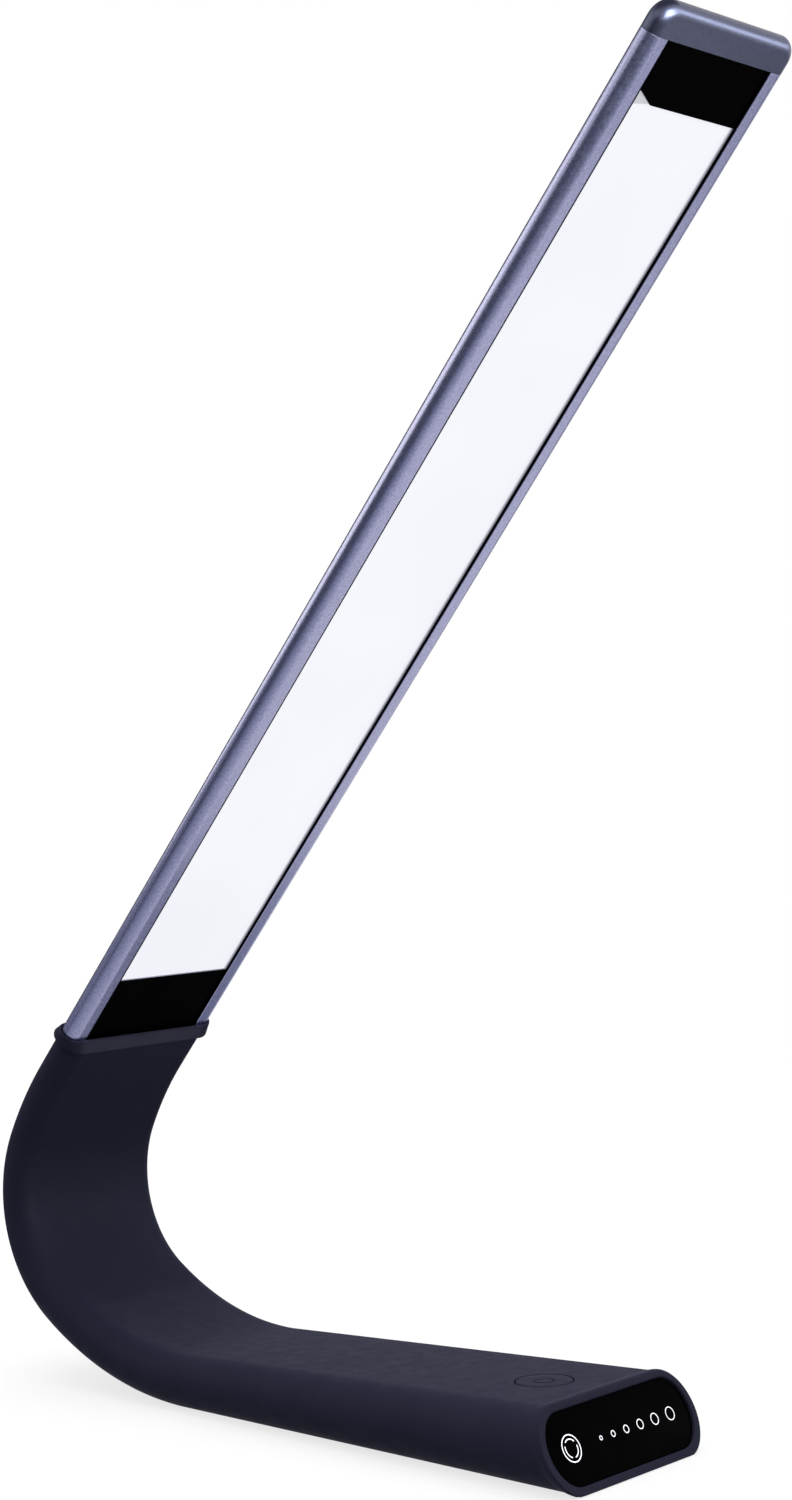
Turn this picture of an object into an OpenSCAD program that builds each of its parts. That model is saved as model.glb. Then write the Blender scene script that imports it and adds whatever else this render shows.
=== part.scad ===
// Cordless desk lamp: a slim light bar on a bendable neck that runs into a wedge base.
// Origin: middle of the base's flat underside. +Z up, the touch panel faces -Y.

/* [Light bar] */
// Width of the bar
head_w = 46; // [42:0.5:52]
// Thickness of the bar
head_t = 5; // [4.8:0.1:6]
// Length from the collar to the end cap
head_len = 260.6; // [200:0.2:300]
// Wall of the aluminium channel
head_skin = 1; // [0.8:0.05:1.1]
// Width of the bar's edge on each side of the window
edge_w = 5.1; // [4.8:0.1:8]
// Length of the end cap
cap_len = 7; // [6:0.5:12]
// Corner radius of the end cap, seen from the front
cap_corner = 4.5; // [3.5:0.25:6]
// Depth of the cap's spigot in the channel
cap_spigot = 8; // [4:0.5:10]
// Black mask at the collar end of the window
mask_low = 17.5; // [12:0.2:22]
// Black mask at the cap end of the window
mask_high = 13.3; // [11:0.1:20]
// Cut corner of the cap-end mask, across the bar
notch_w = 6.2; // [4:0.1:10]
// Cut corner of the cap-end mask, along the bar
notch_len = 2.9; // [2:0.1:6]
// Number of light-emitting chips on each side
chip_count = 24; // [12:1:32]

/* [Neck] */
// Width of the neck
neck_w = 43.8; // [43:0.1:48]
// Thickness of the neck where it leaves the base
neck_t_low = 12; // [11:0.2:13]
// Thickness of the neck at the collar
neck_t_top = 8.4; // [8.4:0.1:10]
// Outer radius of the bend next to the base
bend_r_low = 78.4; // [70:0.2:105]
// Turn of the bend next to the base, in degrees
bend_angle_low = 34.4; // [24:0.2:38]
// Outer radius of the tight part of the bend
bend_r_mid = 34.8; // [33:0.1:45]
// Turn of the tight part of the bend, in degrees
bend_angle_mid = 81.2; // [70:0.2:88]
// Outer radius of the bend next to the collar
bend_r_top = 82; // [55:0.2:90]
// Turn of the bend next to the collar, in degrees
bend_angle_top = 14; // [10:0.2:20]
// Straight run from the bend to the collar's upper edge
neck_straight = 14; // [14:0.1:24]
// Wall of the silicone sleeve
sleeve_wall = 1.6; // [1.2:0.1:1.8]
// Length of the collar round the bar
collar_len = 2.8; // [2.6:0.1:4]
// How far the collar stands proud of the bar at its edges
collar_wall = 0.7; // [0.6:0.1:1.6]
// How far the collar stands proud of the neck, front and back
collar_proud = 0.5; // [0.3:0.1:1]

/* [Spine] */
// Diameter of the spine's hinge pins
pin_d = 2.4; // [2:0.1:2.6]
// Outer diameter of the hinge knuckles
knuckle_d = 4.8; // [4.4:0.1:5]
// Thickness of the spine's links
link_t = 4; // [3.6:0.1:4.2]
// Width of the spine
link_w = 32.4; // [30:0.2:32.6]
// Width of one knuckle
knuckle_w = 4.7; // [4:0.1:5]
// Width of the lead's channel along the spine
channel_w = 5; // [4:0.2:6]
// Diameter of the lead in the spine
lead_d = 1.6; // [1.2:0.1:1.8]

/* [Base] */
// Length of the flat underside
base_len = 110; // [100:1:130]
// Height of the base at the panel end
base_h = 16.7; // [16.4:0.1:19]
// Width of the base at the panel end
base_w = 51.5; // [51:0.5:54]
// How far the sides of the base bulge at the panel end
side_bulge = 8.2; // [7:0.1:8.6]
// Flat trim of the underside at the panel end
sole_trim = 0.2; // [0.1:0.1:0.6]
// Wall of the inner casing
case_wall = 1.4; // [1.2:0.1:1.6]
// Height of the parting line between tray and lid
case_split = 7.2; // [6.6:0.1:7.8]

/* [Touch panel] */
// Width of the panel
panel_w = 48.2; // [44:0.2:49]
// Height of the panel along its slope
panel_h = 15.3; // [14:0.1:15.6]
// Bulge of the panel's ends
panel_bulge = 6.6; // [5:0.1:7.4]
// Thickness of the panel
panel_t = 1.2; // [1:0.1:1.4]
// Lean of the panel back from upright, in degrees
panel_lean = 26.5; // [24:0.5:30]
// Height of the panel's middle above the table
panel_z = 8.2; // [8:0.1:8.4]
// How far the lip stands forward of the panel
lip_face = 0.6; // [0.3:0.1:1]
// Length of the raised lip round the panel
lip_len = 3.2; // [2:0.2:5]
// How far the lip stands proud of the base
lip_proud = 0.4; // [0.2:0.1:1]

/* [Power key] */
// Diameter of the key
key_d = 12; // [10:0.2:13]
// Travel of the key
key_travel = 0.5; // [0.3:0.1:0.8]
// Distance of the key's middle behind the base's front edge
key_back = 23.4; // [23.4:0.2:26]

/* [Charging port] */
// Width of the port's metal shell
port_w = 9; // [8:0.1:9.5]
// Height of the port's metal shell
port_h = 3.2; // [3:0.1:3.4]
// Depth of the port
port_len = 7.4; // [6:0.2:8]

/* [Inner parts] */
// Gap between the control board and the battery
battery_gap = 4; // [3:0.5:8]
// Width of the battery
battery_w = 31; // [26:0.5:31.5]
// Thickness of the battery
battery_t = 3.6; // [3:0.1:3.9]
// Thickness of the steel weight
weight_t = 2.2; // [1.5:0.1:2.4]
// Width of the control board
board_w = 33; // [30:0.5:34]
// Length of the control board
board_len = 14; // [13:0.5:14.5]
// Thickness of the circuit boards
board_t = 1.2; // [1:0.1:1.4]

/* [Hidden] */
$fn = 64;
// Number of spine hinges along the bend
hinges = 9;
// Clearances: silicone on the casing, flat seats, running pins, knuckle faces, sliding keys
soft_fit = 0.25;
seat_fit = 0.05;
pin_fit = 0.04;
knuckle_fit = 0.2;
key_fit = 0.3;
// Steps round each side of the sleeve and along the neck
edge_steps = 12;
neck_steps = 24;
// A cut reaches this far past the solid that it trims
over = 1;
// Size of a half-space that trims the base
half = 200;

// Side view of the neck: [y, z] of the outer line at distance s past the end of the flat underside
function degrees(x) = x * 180 / PI;
function turned(p, a, b, r) = p + r * [sin(b) - sin(a), cos(a) - cos(b)];
arc_low = bend_r_low * bend_angle_low * PI / 180;
arc_mid = bend_r_mid * bend_angle_mid * PI / 180;
arc_top = bend_r_top * bend_angle_top * PI / 180;
arc_all = arc_low + arc_mid + arc_top;
turn_mid = bend_angle_low + bend_angle_mid;
turn_all = turn_mid + bend_angle_top;
neck_len = arc_all + neck_straight;
foot = [base_len / 2, 0];
knee = turned(foot, 0, bend_angle_low, bend_r_low);
hip = turned(knee, bend_angle_low, turn_mid, bend_r_mid);
nape = turned(hip, turn_mid, turn_all, bend_r_top);
function heading(s) =
    s < 0 ? 0 :
    s < arc_low ? degrees(s / bend_r_low) :
    s < arc_low + arc_mid ? bend_angle_low + degrees((s - arc_low) / bend_r_mid) :
    s < arc_all ? turn_mid + degrees((s - arc_low - arc_mid) / bend_r_top) :
    turn_all;
function outer_line(s) =
    s < 0 ? foot + [s, 0] :
    s < arc_low ? turned(foot, 0, heading(s), bend_r_low) :
    s < arc_low + arc_mid ? turned(knee, bend_angle_low, heading(s), bend_r_mid) :
    s < arc_all ? turned(hip, turn_mid, heading(s), bend_r_top) :
    nape + (s - arc_all) * [cos(turn_all), sin(turn_all)];
function inward(s, depth) = outer_line(s) + depth * [-sin(heading(s)), cos(heading(s))];

// Cross-section of the sleeve at s: flat faces with half-oval sides
function taper(s) = s < 0 ? -s / base_len : 0;
function thick(s) =
    neck_t_low + (base_h - neck_t_low) * taper(s) + (neck_t_top - neck_t_low) * heading(s) / turn_all;
function wide(s) = neck_w + (base_w - neck_w) * taper(s);
function bulge(s) = thick(s) / 2 * (1 - taper(s)) + side_bulge * taper(s);
function section(s, inset, sink) = [
    for (side = [0, 1], k = [0 : edge_steps])
        let (a = -90 + 180 * (side + k / edge_steps))
        let (x = (1 - 2 * side) * (wide(s) / 2 - bulge(s)) + (bulge(s) - inset) * cos(a))
        let (depth = (thick(s) - sink) / 2 + ((thick(s) + sink) / 2 - inset) * sin(a))
        [x, inward(s, depth)[0], inward(s, depth)[1]]
];
ring_n = 2 * (edge_steps + 1);

// Faces of a skin over rings of points, outward or inward, and of the flat ends
function skin(first, rings, out) = [
    for (r = [0 : rings - 2], i = [0 : ring_n - 1])
        let (j = (i + 1) % ring_n)
        let (a = first + r * ring_n + i, b = first + r * ring_n + j, c = b + ring_n, d = a + ring_n)
        each out ? [[a, b, c], [a, c, d]] : [[a, c, b], [a, d, c]]
];
function disc(first, front) = [
    for (i = [1 : ring_n - 2])
        front ? [first, first + i + 1, first + i] : [first, first + i, first + i + 1]
];
function annulus(outer, inner, front) = [
    for (i = [0 : ring_n - 1])
        let (j = (i + 1) % ring_n)
        let (a = outer + i, b = outer + j, c = inner + j, d = inner + i)
        each front ? [[a, d, c], [a, c, b]] : [[a, b, c], [a, c, d]]
];

// Solid and hollow lofts over the sleeve's sections
module loft(stops, inset, sole = 0) {
    points = [for (s = stops) each section(s, inset, sole * taper(s))];
    last = (len(stops) - 1) * ring_n;
    polyhedron(points, concat(skin(0, len(stops), true), disc(0, true), disc(last, false)));
}
module loft_shell(stops, wall) {
    outer = [for (s = stops) each section(s, 0, 0)];
    inner = [for (s = stops) each section(s, wall, 0)];
    n = len(outer);
    faces = concat(
        skin(0, len(stops), true),
        skin(n, len(stops), false),
        annulus(0, n, true),
        annulus(n - ring_n, 2 * n - ring_n, false)
    );
    polyhedron(concat(outer, inner), faces);
}

// The lead: an eight-sided tube along [x, y, z] points, each ring square to the route
lead_sides = 8;
function unit(v) = v / norm(v);
function lead_ring(p, along, up) =
    let (side = unit(cross(along, up)))
    let (top = cross(side, along))
    [
        for (k = [0 : lead_sides - 1])
            p + lead_d / 2 * (cos(360 * k / lead_sides) * side + sin(360 * k / lead_sides) * top)
    ];
module lead_tube(route, ups) {
    last_k = len(route) - 1;
    points = [
        for (k = [0 : last_k])
            each lead_ring(route[k], unit(route[min(k + 1, last_k)] - route[max(k - 1, 0)]), ups[k])
    ];
    n = lead_sides;
    last = last_k * n;
    sides = [
        for (r = [0 : last_k - 1], i = [0 : n - 1])
            let (a = r * n + i, b = r * n + (i + 1) % n)
            each [[a, b, b + n], [a, b + n, a + n]]
    ];
    front = [for (i = [1 : n - 2]) [0, i + 1, i]];
    back = [for (i = [1 : n - 2]) [last, last + i, last + i + 1]];
    polyhedron(points, concat(sides, front, back));
}

// Frames of the bar, the panel and the key: +Y along the surface, +Z out of it
bar_at = inward(neck_len, neck_t_top / 2);
module on_bar() translate([0, bar_at[0], bar_at[1]]) rotate([turn_all, 0, 0]) children();
panel_y = -base_len / 2 + panel_z * tan(panel_lean);
module on_panel() translate([0, panel_y, panel_z]) rotate([90 - panel_lean, 0, 0]) children();
key_y = -base_len / 2 + key_back;
key_z = thick(key_y - foot[0]);
top_slope = atan((base_h - neck_t_low) / base_len);
module on_key() translate([0, key_y, key_z]) rotate([-top_slope, 0, 0]) children();
function from_key(x, y, z) = [
    x,
    key_y + y * cos(top_slope) + z * sin(top_slope),
    key_z - y * sin(top_slope) + z * cos(top_slope)
];

// A box between two corners, a box on both sides of the middle, a profile drawn out along +Y
module block(low, high) translate(low) cube(high - low);
module pair() {
    children();
    mirror([1, 0, 0]) children();
}
module drawn(from, to) translate([0, from, 0]) rotate([90, 0, 180]) linear_extrude(to - from) children();
module slot(w, h) {
    square([w - h, h], center = true);
    for (side = [-1, 1]) translate([side * (w - h) / 2, 0]) circle(d = h);
}
module oval_end_plate(w, h, ends) {
    polygon([
        for (side = [0, 1], k = [0 : edge_steps])
            let (a = -90 + 180 * (side + k / edge_steps))
            [(1 - 2 * side) * (w / 2 - ends) + ends * cos(a), h / 2 * sin(a)]
    ]);
}

// Heights in the bar's channel, from the reflector at the back to the diffuser under the lips
window_w = head_w - 2 * edge_w;
room_w = head_w - head_t + head_skin;
room_t = head_t - 2 * head_skin;
sheet_t = 0.25;
diffuser_t = 0.5;
guide_low = -room_t / 2 + sheet_t + seat_fit;
guide_high = room_t / 2 - diffuser_t - 2 * seat_fit;
edge_tuck = 0.9;
guide_w = window_w + 2 * edge_tuck;
led_board_t = 0.6;
chip = [0.7, 2.6, 1.4];
chip_x = guide_w / 2 + seat_fit;
stack_w = 2 * (chip_x + chip[0] + led_board_t);
mask_tuck = 1.3;
spigot_gap = 0.5;
stack_low = mask_low - mask_tuck;
stack_high = head_len - cap_spigot - spigot_gap;
mask_t = 0.5;
strip_w = 0.35;
strip_t = 0.85;
// Floor of the bar's socket in the collar, and the hole for the spine in it
socket_floor = 0.4;
bar_foot = socket_floor - collar_len;
spine_hole = [link_w + 4 * soft_fit, link_t + 3 * knuckle_fit];

module head_housing() color("slategray") on_bar() {
    difference() {
        drawn(bar_foot, head_len) slot(head_w, head_t);
        block([-room_w / 2, -collar_len, -room_t / 2], [room_w / 2, head_len + over, room_t / 2]);
        block([-window_w / 2, -collar_len, 0], [window_w / 2, head_len + over, head_t]);
    }
}

module end_cap() color("dimgray") on_bar() {
    r = head_t / 2;
    flat_x = head_w / 2 - cap_corner;
    flat_y = head_len + cap_len - cap_corner;
    tip = head_len + cap_len - r;
    block([-flat_x, head_len, -r], [flat_x, tip, r]);
    block([-head_w / 2 + r, head_len, -r], [head_w / 2 - r, flat_y, r]);
    translate([-flat_x, tip, 0]) rotate([0, 90, 0]) cylinder(r = r, h = 2 * flat_x);
    pair() {
        translate([head_w / 2 - r, head_len, 0]) rotate([-90, 0, 0]) cylinder(r = r, h = flat_y - head_len);
        translate([flat_x, flat_y, 0]) rotate_extrude(angle = 90) {
            translate([cap_corner - r, 0]) intersection() {
                circle(r = r);
                translate([0, -r]) square([r, 2 * r]);
            }
            translate([0, -r]) square([cap_corner - r, 2 * r]);
        }
    }
    spigot = [room_w / 2 - 2 * seat_fit, 0, room_t / 2 - seat_fit];
    block([-spigot[0], head_len - cap_spigot, -spigot[2]], [spigot[0], head_len, spigot[2]]);
}

module face_mask() color("black") on_bar() {
    x = window_w / 2 - seat_fit;
    low = room_t / 2 + seat_fit;
    high = head_len - seat_fit;
    edge = head_len - mask_high;
    block([-x, 0, low], [x, mask_low, low + mask_t]);
    translate([0, 0, low]) linear_extrude(mask_t) polygon([
        [-x, high],
        [-x, edge + notch_len],
        [-x + notch_w, edge],
        [x, edge],
        [x, high],
    ]);
    pair() block([x - strip_w, 0, low], [x, high, low + strip_t]);
}

module diffuser() color("white") on_bar()
    block([-stack_w / 2, stack_low, guide_high + seat_fit], [stack_w / 2, stack_high, room_t / 2 - seat_fit]);

module light_guide() color("aliceblue") on_bar()
    block([-guide_w / 2, stack_low, guide_low], [guide_w / 2, stack_high, guide_high]);

module reflector() color("whitesmoke") on_bar()
    block([-stack_w / 2, stack_low, -room_t / 2], [stack_w / 2, stack_high, guide_low - seat_fit]);

module led_boards() color("ivory") on_bar() pair()
    block([stack_w / 2 - led_board_t, stack_low, guide_low], [stack_w / 2, stack_high, guide_high]);

module led_chips() color("gold") on_bar() {
    pitch = (stack_high - stack_low) / chip_count;
    z = (guide_low + guide_high - chip[2]) / 2;
    pair() for (k = [0 : chip_count - 1])
        translate([chip_x, stack_low + (k + 0.5) * pitch - chip[1] / 2, z]) cube(chip);
}

module collar() color("midnightblue") on_bar() {
    difference() {
        drawn(-collar_len, 0) slot(head_w + 2 * collar_wall, neck_t_top + 2 * collar_proud);
        drawn(bar_foot, over) slot(head_w + 2 * seat_fit, head_t + 2 * seat_fit);
        drawn(-collar_len - over, over) square(spine_hole, center = true);
    }
}

// The spine: hinge middles on the sleeve's middle line, evenly spaced along the outer line
hinge_pitch = arc_all / hinges;
function hinge_s(i) = (i - 0.5) * hinge_pitch;
function hinge_at(i) = inward(hinge_s(i), thick(hinge_s(i)) / 2);
knuckle_r = knuckle_d / 2;
knuckle_clear = 0.5;
knuckle_gap = knuckle_r + knuckle_clear;
outer_x = link_w / 2 - knuckle_w;
inner_x = outer_x - knuckle_fit - knuckle_w;
channel_web = 0.6;
channel_floor = -link_t / 2 + channel_web;
module knuckle(x, y, reach) {
    pair() difference() {
        union() {
            translate([x, y, 0]) rotate([0, 90, 0]) cylinder(d = knuckle_d, h = knuckle_w);
            translate([x, min(y, y + reach), -link_t / 2]) cube([knuckle_w, abs(reach), link_t]);
        }
        translate([x - over, y, 0]) rotate([0, 90, 0])
            cylinder(d = pin_d + 2 * pin_fit, h = knuckle_w + 2 * over);
    }
}
module link_body(from, to) {
    difference() {
        block([-link_w / 2, from, -link_t / 2], [link_w / 2, to, link_t / 2]);
        block([-channel_w / 2, from - over, channel_floor], [channel_w / 2, to + over, link_t]);
    }
}
module hinge_pin_pair(i) color("silver") {
    x = inner_x - knuckle_fit;
    pair() translate([x, hinge_at(i)[0], hinge_at(i)[1]]) rotate([0, 90, 0])
        cylinder(d = pin_d, h = link_w / 2 + knuckle_fit - x);
}
module spine_link(i) color("gray") {
    step = hinge_at(i + 1) - hinge_at(i);
    translate([0, hinge_at(i)[0], hinge_at(i)[1]]) rotate([atan2(step[1], step[0]), 0, 0]) {
        link_body(knuckle_gap, norm(step) - knuckle_gap);
        knuckle(inner_x, 0, knuckle_gap);
        knuckle(outer_x, norm(step), -knuckle_gap);
    }
}
module head_anchor() color("gray") on_bar() {
    away = hinge_at(hinges) - bar_at;
    y = away * [cos(turn_all), sin(turn_all)];
    z = away * [-sin(turn_all), cos(turn_all)];
    tail_x = room_w / 2 - 2 * seat_fit;
    tail_z = room_t / 2 - seat_fit;
    translate([0, 0, z]) {
        knuckle(inner_x, y, knuckle_gap);
        link_body(y + knuckle_gap, -collar_len);
    }
    difference() {
        block([-tail_x, bar_foot, -tail_z], [tail_x, stack_low - seat_fit, tail_z]);
        block([-channel_w / 2, -collar_len, channel_floor], [channel_w / 2, stack_low, head_t]);
    }
    difference() {
        block([-link_w / 2, -collar_len, -tail_z], [link_w / 2, bar_foot, tail_z]);
        block([-channel_w / 2, -collar_len - over, channel_floor], [channel_w / 2, over, head_t]);
    }
}

// Inside of the base, from the silicone skin inward
case_in = sleeve_wall + soft_fit;
case_room = case_in + case_wall;
case_back = -3;
floor_z = case_room;
carrier_front = -panel_t - board_t - seat_fit;
carrier_t = 1.6;
case_front = carrier_front - carrier_t - 2 * seat_fit;
// Screw bosses of the casing and the screws in them
boss_d = 5;
boss_gap = 0.3;
boss_in = 13.2;
boss_x_front = 14.8;
boss_x_back = 13.8;
screw_d = 2;
screw_grip = 3;
screw_head = [3.6, 1.2];
screw_fit = 0.1;
// Foot of the spine
anchor_reach = 14;
anchor_front = foot[0] - anchor_reach;
anchor_low = hinge_at(1)[1] - link_t / 2;
anchor_high = anchor_low + link_t;
anchor_screw_d = 2.5;
anchor_screw_head = [4.4, 1.2];
anchor_screw_x = 9;
anchor_screw_in = 4.2;
anchor_screw_y = anchor_front + anchor_screw_in;
lead_lane = lead_d + 2 * boss_gap;
battery_back = anchor_front - boss_d - 2 * boss_gap - lead_lane;
battery_front = key_y + board_len / 2 + battery_gap;
front_boss_y = -base_len / 2 + boss_in;
back_boss_y = anchor_front - boss_d / 2 - boss_gap;
boss_spots = [
    for (side = [-1, 1])
        each [[side * boss_x_front, front_boss_y], [side * boss_x_back, back_boss_y]]
];
// Heights under the power key, measured from the top of the base at the key
flange_rim = 1.2;
flange_d = key_d + 2 * flange_rim;
flange_t = 0.9;
flange_top = -sleeve_wall - key_fit;
pocket_d = flange_d + 2 * key_fit;
pocket_spare = 0.5;
pocket_floor = flange_top - flange_t - key_travel - pocket_spare;
pocket_floor_t = 1;
stem_d = 4;
switch_size = [6, 6, 3.4];
plunger_d = 3.2;
plunger_h = 1.7;
plunger_fit = 0.1;
board_top = -9.6;
switch_top = board_top + switch_size[2];
plunger_top = switch_top + key_travel + seat_fit;
// The charging port in the side of the base
port_set = 0.35;
port_shell = 0.3;
port_tongue = [port_w - 2.6, 0.7];
port_margin_skin = 0.7;
port_margin_case = 0.3;
port_x = wide(key_y - foot[0]) / 2 - sleeve_wall - port_set;
port_z = board_top + port_h / 2;
// The control board: chip, coil and the lead's plug, [x, y, z] sizes
port_overhang = 3.6;
board_right = port_x - port_overhang;
post_in = 2.5;
post_d = 3;
part_in = 2;
chip_pack = [5, 5, 1.2];
coil = [4, 4, 2];
plug = [5, 4, 2.4];
plug_x = 6;
plug_in = 1;
// Margins of the touch board and of the carrier's window inside the panel
touch_margin = 1.5;
carrier_margin = 6;
carrier_margin_h = 3.5;
// The base's lofts run past the panel's plane by this much
front_spare = 10;

module base_form(inset, sole = 0) loft([-base_len - front_spare, 0], inset, sole);
module base_room(inset) loft([-base_len - front_spare - over, over / 2], inset);
module before_panel(depth) on_panel() translate([-half / 2, -half / 2, depth]) cube([half, half, half]);
module behind(y) translate([-half / 2, y, -half / 2]) cube([half, half, half]);
module past_panel(depth) on_panel() translate([-half / 2, -half / 2, depth - half]) cube([half, half, half]);
module under(z) translate([-half / 2, -half / 2, z - half]) cube([half, half, half]);

module base_sleeve() color("midnightblue") {
    difference() {
        union() {
            base_form(0, sole_trim);
            difference() {
                base_form(-lip_proud);
                past_panel(lip_face - lip_len);
            }
        }
        difference() {
            base_room(sleeve_wall);
            before_panel(-panel_t - seat_fit);
        }
        before_panel(lip_face);
        on_panel() translate([0, 0, -panel_t - 2 * seat_fit]) linear_extrude(half)
            oval_end_plate(panel_w + 2 * seat_fit, panel_h + 2 * seat_fit, panel_bulge + seat_fit);
        on_key() translate([0, 0, -sleeve_wall - over])
            cylinder(d = key_d + 2 * key_fit, h = sleeve_wall + 2 * over);
        port_window(port_margin_skin);
        under(0);
    }
}
module port_window(gap) on_key() translate([port_x - case_room, 0, port_z]) rotate([90, 0, 90])
    linear_extrude(half) slot(port_w + 2 * gap, port_h + 2 * gap);

stops = [for (k = [0 : neck_steps]) (neck_len - collar_len) * k / neck_steps];
module neck_sleeve() color("midnightblue") loft_shell(stops, sleeve_wall);

// The lead leaves its plug, runs beside the battery and then follows the spine's channel
lead_gap = 0.6;
lead_bend = 3;
lead_inset = 4;
lead_z = floor_z + weight_t + lead_d;
lead_x = battery_w / 2 + lead_d / 2 + lead_gap;
lead_start = from_key(plug_x + plug[0] / 2, board_len / 2 - plug_in + seat_fit, board_top + plug[2] / 2);
lead_rise = [
    lead_start,
    lead_start + [0, lead_d / 2, 0],
    [lead_start[0] + lead_bend, lead_start[1] + 2 * lead_d - lead_gap, lead_z],
    [lead_x, lead_start[1] + lead_bend, lead_z],
    [lead_x, battery_back - lead_gap, lead_z],
    [lead_x - lead_gap, battery_back + lead_lane / 2, lead_z],
    [lead_inset, battery_back + lead_lane / 2, lead_z],
];
lead_from = anchor_front - foot[0] + over;
lead_to = neck_len + stack_low - spigot_gap;
lead_steps = 30;
lead_stops = [for (k = [0 : lead_steps]) lead_from + (lead_to - lead_from) * k / lead_steps];
function lead_depth(s) = s < hinge_s(1) ? thick(hinge_s(1)) / 2 : thick(min(s, neck_len)) / 2;
module neck_lead() color("firebrick") {
    along_neck = [for (s = lead_stops) [0, inward(s, lead_depth(s))[0], inward(s, lead_depth(s))[1]]];
    ups_neck = [for (s = lead_stops) [0, -sin(heading(s)), cos(heading(s))]];
    lead_tube(concat(lead_rise, along_neck), concat([for (p = lead_rise) [0, 0, 1]], ups_neck));
}

module case_shape() {
    difference() {
        base_form(case_in);
        before_panel(case_front);
        behind(foot[0] + case_back);
    }
}
module case_hollow() {
    difference() {
        base_form(case_room);
        behind(foot[0] + case_back - case_wall);
    }
}
module bosses(low, high) {
    for (p = boss_spots) translate([p[0], p[1], low]) cylinder(d = boss_d, h = high - low);
}
module anchor_gap() block(
    [-link_w / 2 - soft_fit, anchor_front, anchor_low - soft_fit],
    [link_w / 2 + soft_fit, foot[0], anchor_high + soft_fit]
);
module board_posts() intersection() {
    base_form(case_in);
    on_key() for (x = [-1, 1], y = [-1, 1])
        translate([board_right - board_w / 2 + x * (board_w / 2 - post_in), y * (board_len / 2 - post_in), 0])
            translate([0, 0, board_top - board_t - half]) cylinder(d = post_d, h = half);
}

module base_tray() color("dimgray") {
    difference() {
        union() {
            difference() {
                case_shape();
                case_hollow();
            }
            intersection() {
                case_shape();
                bosses(case_in, case_split);
            }
            board_posts();
        }
        translate([-half / 2, -half / 2, case_split]) cube([half, half, half]);
        for (p = boss_spots) translate([p[0], p[1], 0]) {
            cylinder(d = screw_d + 2 * screw_fit, h = half);
            cylinder(d = screw_head[0] + 2 * screw_fit, h = case_in + screw_head[1] + screw_fit);
        }
        pair() translate([anchor_screw_x, anchor_screw_y, case_in + screw_fit])
            cylinder(d = anchor_screw_d + 2 * pin_fit, h = half);
        anchor_gap();
        port_window(port_margin_case);
    }
}

module base_lid() color("dimgray") {
    difference() {
        union() {
            difference() {
                case_shape();
                case_hollow();
            }
            intersection() {
                case_shape();
                bosses(case_split, base_h);
            }
            intersection() {
                case_shape();
                on_key() translate([0, 0, pocket_floor - pocket_floor_t])
                    cylinder(d = pocket_d + 2 * case_wall, h = half);
            }
        }
        under(case_split);
        for (p = boss_spots) translate([p[0], p[1], 0])
            cylinder(d = screw_d + 2 * pin_fit, h = case_split + screw_grip + over);
        on_key() {
            translate([0, 0, pocket_floor]) cylinder(d = pocket_d, h = half);
            translate([0, 0, -half / 2]) cylinder(d = stem_d + 2 * key_fit, h = half);
        }
        anchor_gap();
        port_window(port_margin_case);
    }
}

module lid_screws() color("silver") {
    for (p = boss_spots) translate([p[0], p[1], case_in]) {
        cylinder(d = screw_head[0], h = screw_head[1]);
        cylinder(d = screw_d, h = case_split + screw_grip - case_in);
    }
}

module cell_room(low, high) block(
    [-battery_w / 2, battery_front, low],
    [battery_w / 2, battery_back, high]
);
module counterweight() color("darkgray") cell_room(floor_z, floor_z + weight_t);

module battery() color("skyblue") {
    low = floor_z + weight_t + seat_fit;
    cell_room(low, low + battery_t);
}

module control_board() color("darkgreen") on_key() {
    left = board_right - board_w;
    edge = board_len / 2;
    block([left, -edge, board_top - board_t], [board_right, edge, board_top]);
    translate([left + part_in, part_in - edge, board_top]) cube(chip_pack);
    translate([left + part_in, edge - part_in - coil[1], board_top]) cube(coil);
    translate([plug_x, edge - plug_in - plug[1], board_top]) cube(plug);
}

module tact_switch() color("lightgray") on_key() {
    difference() {
        translate([-switch_size[0] / 2, -switch_size[1] / 2, board_top]) cube(switch_size);
        translate([0, 0, plunger_top - plunger_h - key_travel - 2 * plunger_fit])
            cylinder(d = plunger_d + 2 * plunger_fit, h = half);
    }
}
module switch_plunger() color("black") on_key()
    translate([0, 0, plunger_top - plunger_h]) cylinder(d = plunger_d, h = plunger_h);

module power_key() color("midnightblue") on_key() {
    translate([0, 0, flange_top - flange_t]) {
        cylinder(d = flange_d, h = flange_t);
        cylinder(d = key_d, h = flange_t - flange_top);
    }
    translate([0, 0, plunger_top]) cylinder(d = stem_d, h = flange_top - flange_t / 2 - plunger_top);
}

module charge_port() color("silver") on_key() {
    h = port_h - seat_fit;
    translate([port_x - port_len, 0, port_z + seat_fit]) rotate([90, 0, 90]) {
        difference() {
            linear_extrude(port_len) slot(port_w, h);
            translate([0, 0, over]) linear_extrude(port_len)
                slot(port_w - 2 * port_shell, h - 2 * port_shell);
        }
        linear_extrude(port_len - over) square(port_tongue, center = true);
    }
}

module touch_panel() color("black") on_panel()
    translate([0, 0, -panel_t]) linear_extrude(panel_t) oval_end_plate(panel_w, panel_h, panel_bulge);

module touch_board() color("darkgreen") on_panel()
    translate([0, 0, -panel_t - board_t]) linear_extrude(board_t)
        oval_end_plate(panel_w - 3 * touch_margin, panel_h - 3 * touch_margin, panel_bulge - touch_margin);

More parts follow.
